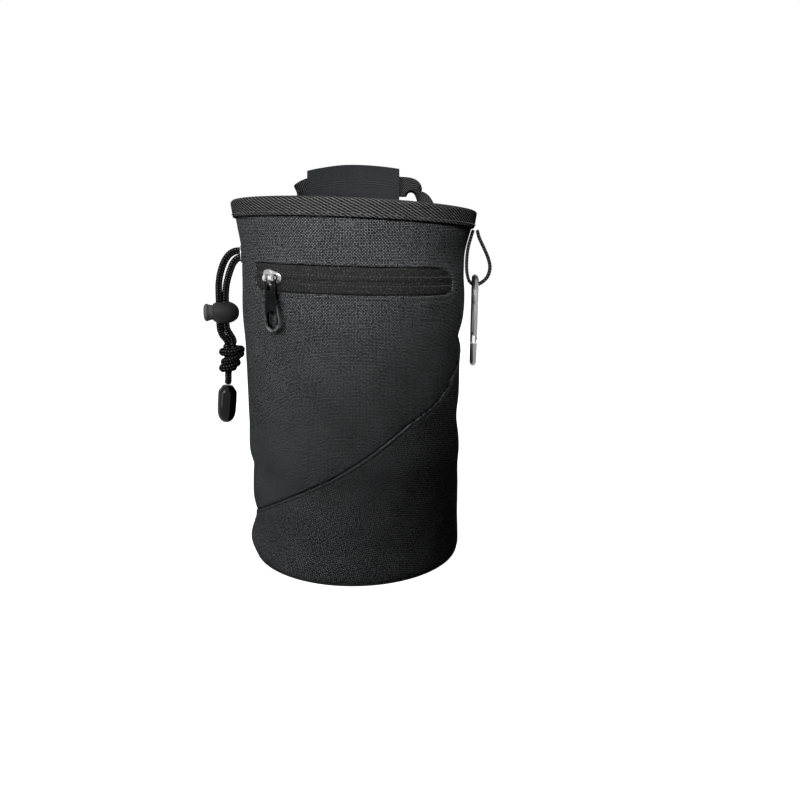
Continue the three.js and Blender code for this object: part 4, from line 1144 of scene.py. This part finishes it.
def window_outline(offset, count=700):
    """Azimuths and heights round the pocket window, a distance outside its outline: four straight sides
    and four quarter ellipses, spaced evenly."""
    corners = [
        (1, 1, TOP_RIGHT_CORNER, 0), (-1, 1, LEFT_CORNER, 90),
        (-1, -1, LEFT_CORNER, 180), (1, -1, BOTTOM_RIGHT_CORNER, 270),
    ]
    arcs = []
    for sideways, upwards, (reach, rise), first in corners:
        angle = np.radians(first + np.linspace(0, 90, 32))
        x = sideways * (POCKET_LENGTH / 2 - reach) + (reach + offset) * np.cos(angle)
        y = upwards * (POCKET_HEIGHT / 2 - rise) + (rise + offset) * np.sin(angle)
        arcs.append(np.stack([x + POCKET_SHIFT, y], -1))
    outline = np.concatenate(arcs + [arcs[0][:1]])
    run = run_length(outline)
    at = np.linspace(0, run[-1], count)
    along = np.interp(at, run, outline[:, 0])
    up = np.interp(at, run, outline[:, 1])
    return np.degrees(along / BODY_RADIUS), pocket_middle(along) + up, at


azimuth, z, _ = window_outline(2.6)
stitch_row("window_stitches", *on_wall(azimuth, z, -0.1), length=2.2)

azimuth = np.linspace(-EDGE, EDGE, 400)
z = seam_height(azimuth) - 2.1 / SEAM_COSINE
stitch_row("seam_stitches", *on_wall(azimuth, z, -0.08), length=2.4)

z = np.linspace(3, 176, 300)
for name, azimuth in (("right_side_stitches", 93.0), ("left_side_stitches", 267.0)):
    stitch_row(name, *on_wall(azimuth + 0 * z, z, -0.1), length=2.4)

# %% [markdown]
# ## The folded binding
# A stiff tape is folded over the wall's top edge and sewn through, so its section is an upturned U. The
# section is carried round the mouth, and at each azimuth it follows the wall's flare.

# %% Binding
MEAN_MOUTH_RADIUS = 61.5
OUT = CLEARANCE + BINDING_THICKNESS
INSIDE = -WALL - CLEARANCE
# Distance from the wall's face and height from the rim's top, once round the folded tape.
binding_section = np.array([
    (CLEARANCE, -8.55), (0.95, -8.7), (OUT - 0.15, -8.62), (OUT + 0.05, -8.3), (OUT - 0.08, -7.1),
    (OUT + 0.08, -5.8), (OUT + 0.12, -4.4), (OUT + 0.22, -2.8), (OUT + 0.3, -1.5), (OUT - 0.05, -0.7),
    (OUT - 0.9, -0.15), (-0.6, 0.02), (-2.4, -0.05), (INSIDE - 0.75, -0.7), (INSIDE - 1.25, -1.9),
    (INSIDE - 1.35, -3.4), (INSIDE - 1.3, -5.4), (INSIDE - 1.12, -7.1), (INSIDE - 1.3, -8.3),
    (INSIDE - 0.8, -8.7), (INSIDE, -8.6), (INSIDE, -5.0), (INSIDE, -1.3), (CLEARANCE, -1.3),
    (CLEARANCE, -5.0), (CLEARANCE, -8.55),
])
section = spline(binding_section, even(binding_section, 90))
section[:, 1] = np.minimum(section[:, 1], 0.02)
ring_azimuth = np.linspace(0, 360, 541)
ring_z = rim_top(ring_azimuth)[:, None] + section[None, :, 1]
wave = 0.12 * np.sin(np.radians(ring_azimuth) * 11 + 0.8) + 0.08 * np.sin(np.radians(ring_azimuth) * 29)
face = step_between(0.5, 1.4, section[:, 0])
ring_radius = wall_radius(ring_azimuth[:, None], ring_z) + section[None, :, 0] + wave[:, None] * face
ring_places = around(ring_azimuth[:, None], ring_radius, ring_z)
ring_texture = crossed(np.radians(ring_azimuth) * MEAN_MOUTH_RADIUS, run_length(section))
binding = surface("mouth_binding", ring_places, ring_texture, binding_tape)
settle(binding, "bag", "binding_webbing", "rim_binding")

azimuth = np.linspace(0, 360, 900)
z = rim_top(azimuth) - 7.1
stitch_row("binding_stitches", *on_wall(azimuth, z, OUT - 0.12), length=2.5, gap=0.9, width=0.42)
path, outward = on_wall(azimuth, z, INSIDE - 1.2)
stitch_row("binding_inner_stitches", path, -outward, length=2.5, gap=0.9, width=0.42)

# %% [markdown]
# ## The zip
# The pocket closes with a coil zip set face down, so its front shows two flat tapes that meet in a line.
# The coil under each tape lifts it a little beside that line, and a row of small stitches holds it. The
# slider is a polished casting, and its pull is black with worn, bright edges.


# %% Window lip and tapes
def window_reach(along, inset, right_corner):
    """How far the window's edge, drawn inwards by the inset, lies from its middle line."""
    a = np.where(along < 0, LEFT_CORNER[0], right_corner[0]) - inset
    b = np.where(along < 0, LEFT_CORNER[1], right_corner[1]) - inset
    beyond = np.clip(np.abs(along) - (POCKET_LENGTH / 2 - inset - a), 0, None)
    return POCKET_HEIGHT / 2 - inset - b + b * np.sqrt(np.clip(1 - (beyond / a) ** 2, 0, None))


azimuth, z, run = window_outline(0.75, 900)
lip_path, outward = on_wall(azimuth, z, -0.25)
angle = np.linspace(0, 2 * np.pi, 17)
lip_section = np.stack([0.5 * np.sin(angle), 0.65 * np.cos(angle)], -1)
across = unit(np.cross(round_direction(lip_path), outward))
lip_places = laid(lip_path, outward, across, lip_section)
# The lip is near black: a painted shadow along the gap round the window.
lip = surface("window_lip", lip_places, crossed(run, 0.65 * angle), window_gap_shadow)
settle(lip, "bag", "shell_cloth")

TAPE_THICKNESS = 0.7
STITCH_ROW = 2.1  # from the zip's middle line
TAPE_FACE = POCKET_RECESS - CLEARANCE - TAPE_THICKNESS
tape_ends = POCKET_LENGTH / 2 - CLEARANCE
tape_along = np.sin(np.linspace(-np.pi / 2, np.pi / 2, 261)) * 0.35 + np.linspace(-1, 1, 261) * 0.65
tape_along = tape_along * tape_ends


def tape(name, sign, right_corner, node):
    """One zip tape: from the zip's middle line to the window's edge, raised over the coil that lies
    beneath it and sunk along the stitches."""
    share = np.sin(np.linspace(0, np.pi / 2, 31))[:, None]
    edge = window_reach(tape_along, CLEARANCE, right_corner)[None, :]
    up = 0.07 + share * (edge - 0.07)
    z = pocket_middle(tape_along + POCKET_SHIFT)[None, :] + sign * up
    azimuth = np.degrees((tape_along + POCKET_SHIFT) / BODY_RADIUS)[None, :] + 0 * z
    relief = 0.45 + 0.12 * hill(up, 1.2, 0.8) - 0.1 * hill(up, STITCH_ROW, 0.35)
    relief = relief - 0.8 * hill(edge - up, 0.0, 0.5)
    wall = wall_radius(azimuth, z)
    front = around(azimuth, wall - TAPE_FACE + relief, z)
    back = around(azimuth, wall - TAPE_FACE - TAPE_THICKNESS, z)
    texture = np.stack([tape_along[None, :] + 0 * z, sign * up], -1)
    piece = slab(name, front, back, texture, [zip_tape, zip_tape])
    settle(piece, "bag", "zip_tape", node)


tape("upper_tape", 1, TOP_RIGHT_CORNER, "zip_tape_upper")
tape("lower_tape", -1, BOTTOM_RIGHT_CORNER, "zip_tape_lower")

fine_along = np.linspace(-tape_ends + 1, tape_ends - 1, 500) + POCKET_SHIFT
azimuth = np.degrees(fine_along / BODY_RADIUS)
for name, up in (("upper_zip_stitches", STITCH_ROW), ("lower_zip_stitches", -STITCH_ROW)):
    z = pocket_middle(fine_along) + up
    stitch_row(name, *on_wall(azimuth, z, -TAPE_FACE + 0.32), 0.8, 0.8, 0.5, 0.08, zip_thread)

# %% [markdown]
# ### Slider and pull
# The slider is a low dome, wide at its nose, with a bridge that carries the pull's pin. Its plan is a
# width that narrows along its length, and its height falls off towards the edge like a flattened circle.

# %% Slider
SLIDER_AZIMUTH = -42.0
SLIDER_LENGTH = 12.5
slider_along = along_wall(SLIDER_AZIMUTH)
slider_z = pocket_middle(slider_along)
slider_radius = wall_radius(SLIDER_AZIMUTH, slider_z) - TAPE_FACE + CLEARANCE
slider_frame = side_frame(SLIDER_AZIMUTH, slider_radius, slider_z)
SLIDER_PLATE, HINGE_ABOVE_PLATE = 1.2, 2.2
BRIDGE_TOP = SLIDER_PLATE + HINGE_ABOVE_PLATE + 0.55

station = np.sin(np.linspace(-np.pi / 2, np.pi / 2, 61))
x = station * SLIDER_LENGTH / 2
narrowing = step_between(-1.5, 5.0, x)
half_width = (4.0 - 1.2 * narrowing) * np.sqrt(np.clip(1 - np.abs(station) ** 5, 0, 1))
height = (1.75 - 0.45 * narrowing) * (1 - np.abs(station) ** 4) ** 0.5
turn = np.linspace(0, 2 * np.pi, 49)
wide = squarish(np.cos(turn), 0.6)
tall = np.clip(np.sin(turn), 0, None) ** 0.75
body_local = np.stack(np.broadcast_arrays(height[:, None] * tall, x[:, None], half_width[:, None] * wide), -1)
slider = surface("slider_body", in_frame(slider_frame, body_local), crossed(x, turn), slider_finish)
settle(slider, "bag", "zip_metal", "zip_slider")

# Outwards and along the slider.
bridge_route = [(0.9, -2.6), (2.6, -1.9), (3.4, -0.4), (BRIDGE_TOP, 1.6), (3.5, 3.2), (2.4, 4.6), (0.8, 5.2)]
bridge_flat = spline(bridge_route, even(bridge_route, 60))
bridge_path = in_frame(slider_frame, np.pad(bridge_flat, ((0, 0), (0, 1))))
corner = np.linspace(0, 2 * np.pi, 25)
bar = np.stack([1.15 * squarish(np.cos(corner), 0.6), 0.5 * squarish(np.sin(corner), 0.6)], -1)
bridge_places = sweep(bridge_path, np.broadcast_to(slider_frame[3], bridge_path.shape), bar)
bridge = surface("slider_bridge", bridge_places, crossed(run_length(bridge_path), corner), slider_finish)
settle(bridge, "bag", "zip_metal")

# %% [markdown]
# ### Pieces that the model already gives
# The pull, the carabiner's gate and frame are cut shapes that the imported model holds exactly. A copy of
# each is merged into one skin and its edges are rounded with a bevel; the model's own piece stays
# untouched behind it.


# %% Dressing a model piece
def dressed(node, name, body, slot, material, width):
    """A merged copy of a model piece with rounded edges."""
    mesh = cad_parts[node].data.copy()
    built = bmesh.new()
    built.from_mesh(mesh)
    bmesh.ops.remove_doubles(built, verts=built.verts, dist=1e-6)
    bmesh.ops.dissolve_limit(built, angle_limit=math.radians(1), verts=built.verts, edges=built.edges)
    built.to_mesh(mesh)
    built.free()
    mesh.polygons.foreach_set("use_smooth", np.ones(len(mesh.polygons), bool))
    mesh.materials.clear()
    mesh.materials.append(material)
    piece = bpy.data.objects.new(name, mesh)
    bpy.context.scene.collection.objects.link(piece)
    bevelled(piece, width, 3)
    settle(piece, body, slot, node)


dressed("zip_pull", "pull_tab", "zip_pull", "pull_metal", pull_finish, 0.22)
for node, name, body in (
    ("carabiner_frame", "carabiner_bow", "carabiner"),
    ("carabiner_gate", "carabiner_gate_bar", "carabiner_gate"),
):
    dressed(node, name, body, "carabiner_metal", carabiner_finish, 0.15)

# %% [markdown]
# ## Straps
# Webbing is a flat band: a thin rounded section carried along a path, with the direction of its width
# given at each point so that it can twist. The side loop is a teardrop sewn under the binding, and the
# carry strap is sewn to the back, stands up behind the mouth and runs through a sleeve.


# %% A flat band
def webbing_band(name, middles, broads, width, thickness, steps, node):
    """A band along a path. Each row gives its middle and the direction of its width, and the section is a
    flattened circle with nearly square corners."""
    t = even(middles, steps)
    path, broad = spline(middles, t), spline(broads, t)
    corner = np.linspace(0, 2 * np.pi, 41)
    flat = width / 2 * squarish(np.cos(corner), 0.35)
    thick = thickness / 2 * squarish(np.sin(corner), 0.5)
    length = run_length(path)
    ends = eased_ends(length, 0.5)[:, None]
    section = np.stack([flat * ends**0.2, thick * ends], -1)
    piece = surface(name, sweep(path, broad, section), crossed(length, flat), strap_webbing)
    settle(piece, "bag", "strap_webbing", node)


# %% Side loop
LOOP_AZIMUTH, LOOP_LENGTH, LOOP_WIDTH, LOOP_THICKNESS = 82.0, 28.6, 8.0, 1.7
loop_top = rim_top(LOOP_AZIMUTH) - BINDING_HEIGHT - 2 * CLEARANCE
loop_root = wall_radius(LOOP_AZIMUTH, loop_top)
# Shares of the loop's length, outwards and down.
LOOP_STATIONS = np.array([
    (0.15, 0.127), (0.25, 0.331), (0.335, 0.52), (0.37, 0.687), (0.325, 0.855), (0.215, 0.96),
    (0.105, 1.0), (0.005, 0.942), (-0.045, 0.804),
])
sewn_z = loop_top - LOOP_LENGTH * np.array([0.6, 0.35, 0.13, 0.0])
sewn_out = wall_radius(LOOP_AZIMUTH + 0 * sewn_z, sewn_z) + 1.5 * CLEARANCE + LOOP_THICKNESS / 2
free_out = loop_root + LOOP_STATIONS[:, 0] * LOOP_LENGTH
free_z = loop_top - LOOP_STATIONS[:, 1] * LOOP_LENGTH
first_out = sewn_out[-1] + LOOP_THICKNESS + CLEARANCE
loop_out = np.concatenate([[first_out], free_out, sewn_out])
loop_z = np.concatenate([[loop_top], free_z, sewn_z])
loop_middle = around(LOOP_AZIMUTH, loop_out, loop_z)
loop_broad = np.broadcast_to(side_frame(LOOP_AZIMUTH, 1.0, 0.0)[2], loop_middle.shape)
webbing_band("loop_webbing", loop_middle, loop_broad, LOOP_WIDTH, LOOP_THICKNESS, 200, "side_loop")

# %% Carry strap and sleeve
STAND = 17.6  # the sleeve's middle above the mouth
STRAP_WIDTH, STRAP_THICKNESS = 12.0, 1.5
rim_radius = wall_radius(180.0, BODY_HEIGHT)
SLEEVE_LENGTH, SLEEVE_HEIGHT, SLEEVE_THICKNESS, SLEEVE_WALL = 55.8, 21.0, 6.0, 1.0
# Shares of the sleeve's length along it, and of its height downwards and forwards.
SLEEVE_STATIONS = np.array([
    (-0.6, 0.3, 0.12), (-0.5, 0.19, 0.075), (-0.32, 0.085, 0.03), (-0.12, 0.01, 0.0), (0.08, 0.0, 0.0),
    (0.3, 0.035, 0.02), (0.5, 0.1, 0.06), (0.6, 0.15, 0.1),
])
sleeve_centre = np.array([-1.0, rim_radius + 4.1, BODY_HEIGHT + STAND])


def sleeve_middle(along):
    """The sleeve's middle line, drooping and coming forward towards its ends."""
    along = np.asarray(along, float)
    drop = smooth(along, SLEEVE_STATIONS[:, 0], SLEEVE_STATIONS[:, 1])
    forward = smooth(along, SLEEVE_STATIONS[:, 0], SLEEVE_STATIONS[:, 2])
    offset = [SLEEVE_LENGTH * along, -SLEEVE_HEIGHT * forward, -SLEEVE_HEIGHT * drop]
    return sleeve_centre + np.stack(offset, -1)


def sewn(azimuth, z, extra, turn=1):
    """A station where the strap lies flat on the back: its place and the direction of its width."""
    angle = math.radians(azimuth)
    place = around(azimuth, wall_radius(azimuth, z) + CLEARANCE + STRAP_THICKNESS / 2 + extra, z)
    return place, np.array([turn * math.cos(angle), turn * math.sin(angle), 0.0])


def free(azimuth, out, up, broad):
    """A station in the air, outwards and up from the mouth's edge in shares of the strap's stand."""
    return around(azimuth, rim_radius + out * STAND, BODY_HEIGHT + up * STAND), np.array(broad, float)


def in_sleeve(along, broad=(0, 0, 1)):
    return sleeve_middle(along), np.array(broad, float)


over_binding = BINDING_THICKNESS + CLEARANCE
foot_height = BODY_HEIGHT - BINDING_HEIGHT - 2
strap_rows = [
    sewn(140, 0.82 * BODY_HEIGHT, 0.1), sewn(140, 0.88 * BODY_HEIGHT, 0.1), sewn(140, foot_height - 3, 0.9),
    sewn(140, foot_height + 3.5, over_binding + 0.8), sewn(140, BODY_HEIGHT, over_binding + 1),
    free(142.4, 0.3, 0.24, (-0.66, 0.74, 0.1)), free(147.6, 0.46, 0.52, (-0.3, 0.9, 0.35)),
    free(151.7, 0.551, 0.83, (0, 0.36, 0.93)), in_sleeve(0.5, (0, 0.02, 1)), in_sleeve(0.25), in_sleeve(0.0),
    in_sleeve(-0.25), in_sleeve(-0.5), free(-152.5, 0.6, 0.6, (0.2, -0.1, 0.95)),
    free(-149.6, 0.477, 0.273, (0.8, 0.5, 0.2)), sewn(-150, BODY_HEIGHT, over_binding + 1, -1),
    sewn(-150, foot_height + 3.5, over_binding + 0.8, -1), sewn(-150, foot_height - 3, 0.9, -1),
    sewn(-150, 0.88 * BODY_HEIGHT, 0.1, -1), sewn(-150, 0.82 * BODY_HEIGHT, 0.1, -1),
]
strap_middle, strap_broad = [np.array(rows) for rows in zip(*strap_rows)]
webbing_band("strap_band", strap_middle, strap_broad, STRAP_WIDTH, STRAP_THICKNESS, 420, "carry_strap")


def sleeve_section(along, angle, inset):
    """The sleeve's skin: a flattened tube, a little fuller in its middle, with shallow creases that run
    in from both ends."""
    flat = squarish(np.cos(angle), 0.7)
    thick = squarish(np.sin(angle), 0.6)
    crease = 0.18 * np.sin(5 * angle + 9 * along) * np.abs(2 * along) ** 1.5
    depth = (SLEEVE_THICKNESS / 2 - inset + crease) * thick
    return sleeve_middle(along) + np.stack([0 * thick, depth, (SLEEVE_HEIGHT / 2 - inset) * flat], -1)


sleeve_along = np.concatenate([np.linspace(-0.5, 0.5, 121), np.linspace(0.5, -0.5, 41)])
inset = np.concatenate([np.zeros(121), np.full(41, SLEEVE_WALL)])
sleeve_angle = np.linspace(0, 2 * np.pi, 97)
grid_along, grid_angle = np.meshgrid(sleeve_along, sleeve_angle, indexing="ij")
sleeve_places = sleeve_section(grid_along, grid_angle, inset[:, None])
sleeve_places = np.concatenate([sleeve_places, sleeve_places[:1]])
sleeve_run = np.concatenate([sleeve_along, sleeve_along[:1]]) * SLEEVE_LENGTH
mean_sleeve_radius = 8.0
sleeve_texture = crossed(sleeve_run, mean_sleeve_radius * sleeve_angle)
sleeve = surface("sleeve_cloth_tube", sleeve_places, sleeve_texture, sleeve_cloth)
settle(sleeve, "bag", "sleeve_cloth", "strap_sleeve")

# %% [markdown]
# ## Floor and light
# The bag stands on a plain pale floor that glows by itself, so it stays white and casts nothing on the
# cloth. A soft light from the upper left and front shapes the cloth, a spot brightens its upper half, and
# weaker lights fill the right and the back. Two tall strips and a white surround show in the metal.

# %% Floor
FLOOR_HALF = 3.0  # metres
floor_mesh = bpy.data.meshes.new("floor")
corners = [(-FLOOR_HALF, -FLOOR_HALF, 0), (FLOOR_HALF, -FLOOR_HALF, 0), (FLOOR_HALF, FLOOR_HALF, 0)]
floor_mesh.from_pydata(corners + [(-FLOOR_HALF, FLOOR_HALF, 0)], [], [(0, 1, 2, 3)])
floor = bpy.data.objects.new("floor", floor_mesh)
bpy.context.scene.collection.objects.link(floor)
floor_finish, nodes, shader, coordinates = new_material("floor")
clouds = nodes.noise(coordinates.outputs["Object"], 30.0, 3.0)
nodes.join(nodes.blend(clouds, grey(0.9), grey(0.93)), shader.inputs["Base Color"])
shader.inputs["Roughness"].default_value = 0.8
shader.inputs["Emission Color"].default_value = grey(1.0)
shader.inputs["Emission Strength"].default_value = 1.05
floor.visible_diffuse = False
floor.visible_glossy = False
floor_mesh.materials.append(floor_finish)


# %% Lights
def aim_at(light, place, target):
    """Places a light and turns its -Z towards the target."""
    away = np.array(place, float) - np.array(target, float)
    away = away / np.linalg.norm(away)
    right = np.cross((0, 0, 1), away)
    right = right / np.linalg.norm(right)
    upright = np.cross(away, right)
    facing = Matrix([[right[i], upright[i], away[i]] for i in range(3)])
    light.matrix_world = Matrix.Translation(place) @ facing.to_4x4()


def lamp(name, kind, place, target, power):
    """A light of one kind that stands at a place and shines towards the target."""
    data = bpy.data.lights.new(name, kind)
    data.energy = power
    light = bpy.data.objects.new(name, data)
    bpy.context.scene.collection.objects.link(light)
    aim_at(light, place, target)
    return data


def soft_light(name, place, target, size, power, height=None):
    """An upright rectangle of light, square where no height is given."""
    data = lamp(name, "AREA", place, target, power)
    data.shape = "RECTANGLE"
    data.size = size
    data.size_y = height or size


soft_light("key light", (-0.42, -0.5, 0.5), (0, 0, 0.12), 0.3, 2.9)
soft_light("fill light", (0.9, -0.5, 0.3), (0, 0, 0.1), 0.6, 0.18)
soft_light("back light", (0.25, 0.9, 0.35), (0, 0, 0.12), 0.5, 2.2)
soft_light("left strip", (-0.75, -0.45, 0.2), (-0.05, 0, 0.12), 0.08, 1.6, 0.6)
soft_light("right strip", (0.55, -0.75, 0.2), (0, 0, 0.12), 0.03, 0.25, 0.6)

spot = lamp("upper spot", "SPOT", (-0.04, -0.66, 0.45), (0.018, -0.055, 0.2), 22)
spot.shadow_soft_size = 0.05
spot.spot_size = math.radians(17)
spot.spot_blend = 1.0

bpy.context.scene.view_settings.view_transform = "Standard"

world = bpy.data.worlds.new("studio")
bpy.context.scene.world = world
world.use_nodes = True
world_nodes = Nodes(world.node_tree)
world.node_tree.nodes.clear()
sky = world_nodes.add("ShaderNodeBackground")
sky.inputs["Strength"].default_value = 1.0
sky.inputs["Color"].default_value = (1, 1, 1, 1)
world_out = world_nodes.add("ShaderNodeOutputWorld")
world_nodes.join(sky.outputs[0], world_out.inputs[0])
world.cycles_visibility.diffuse = False
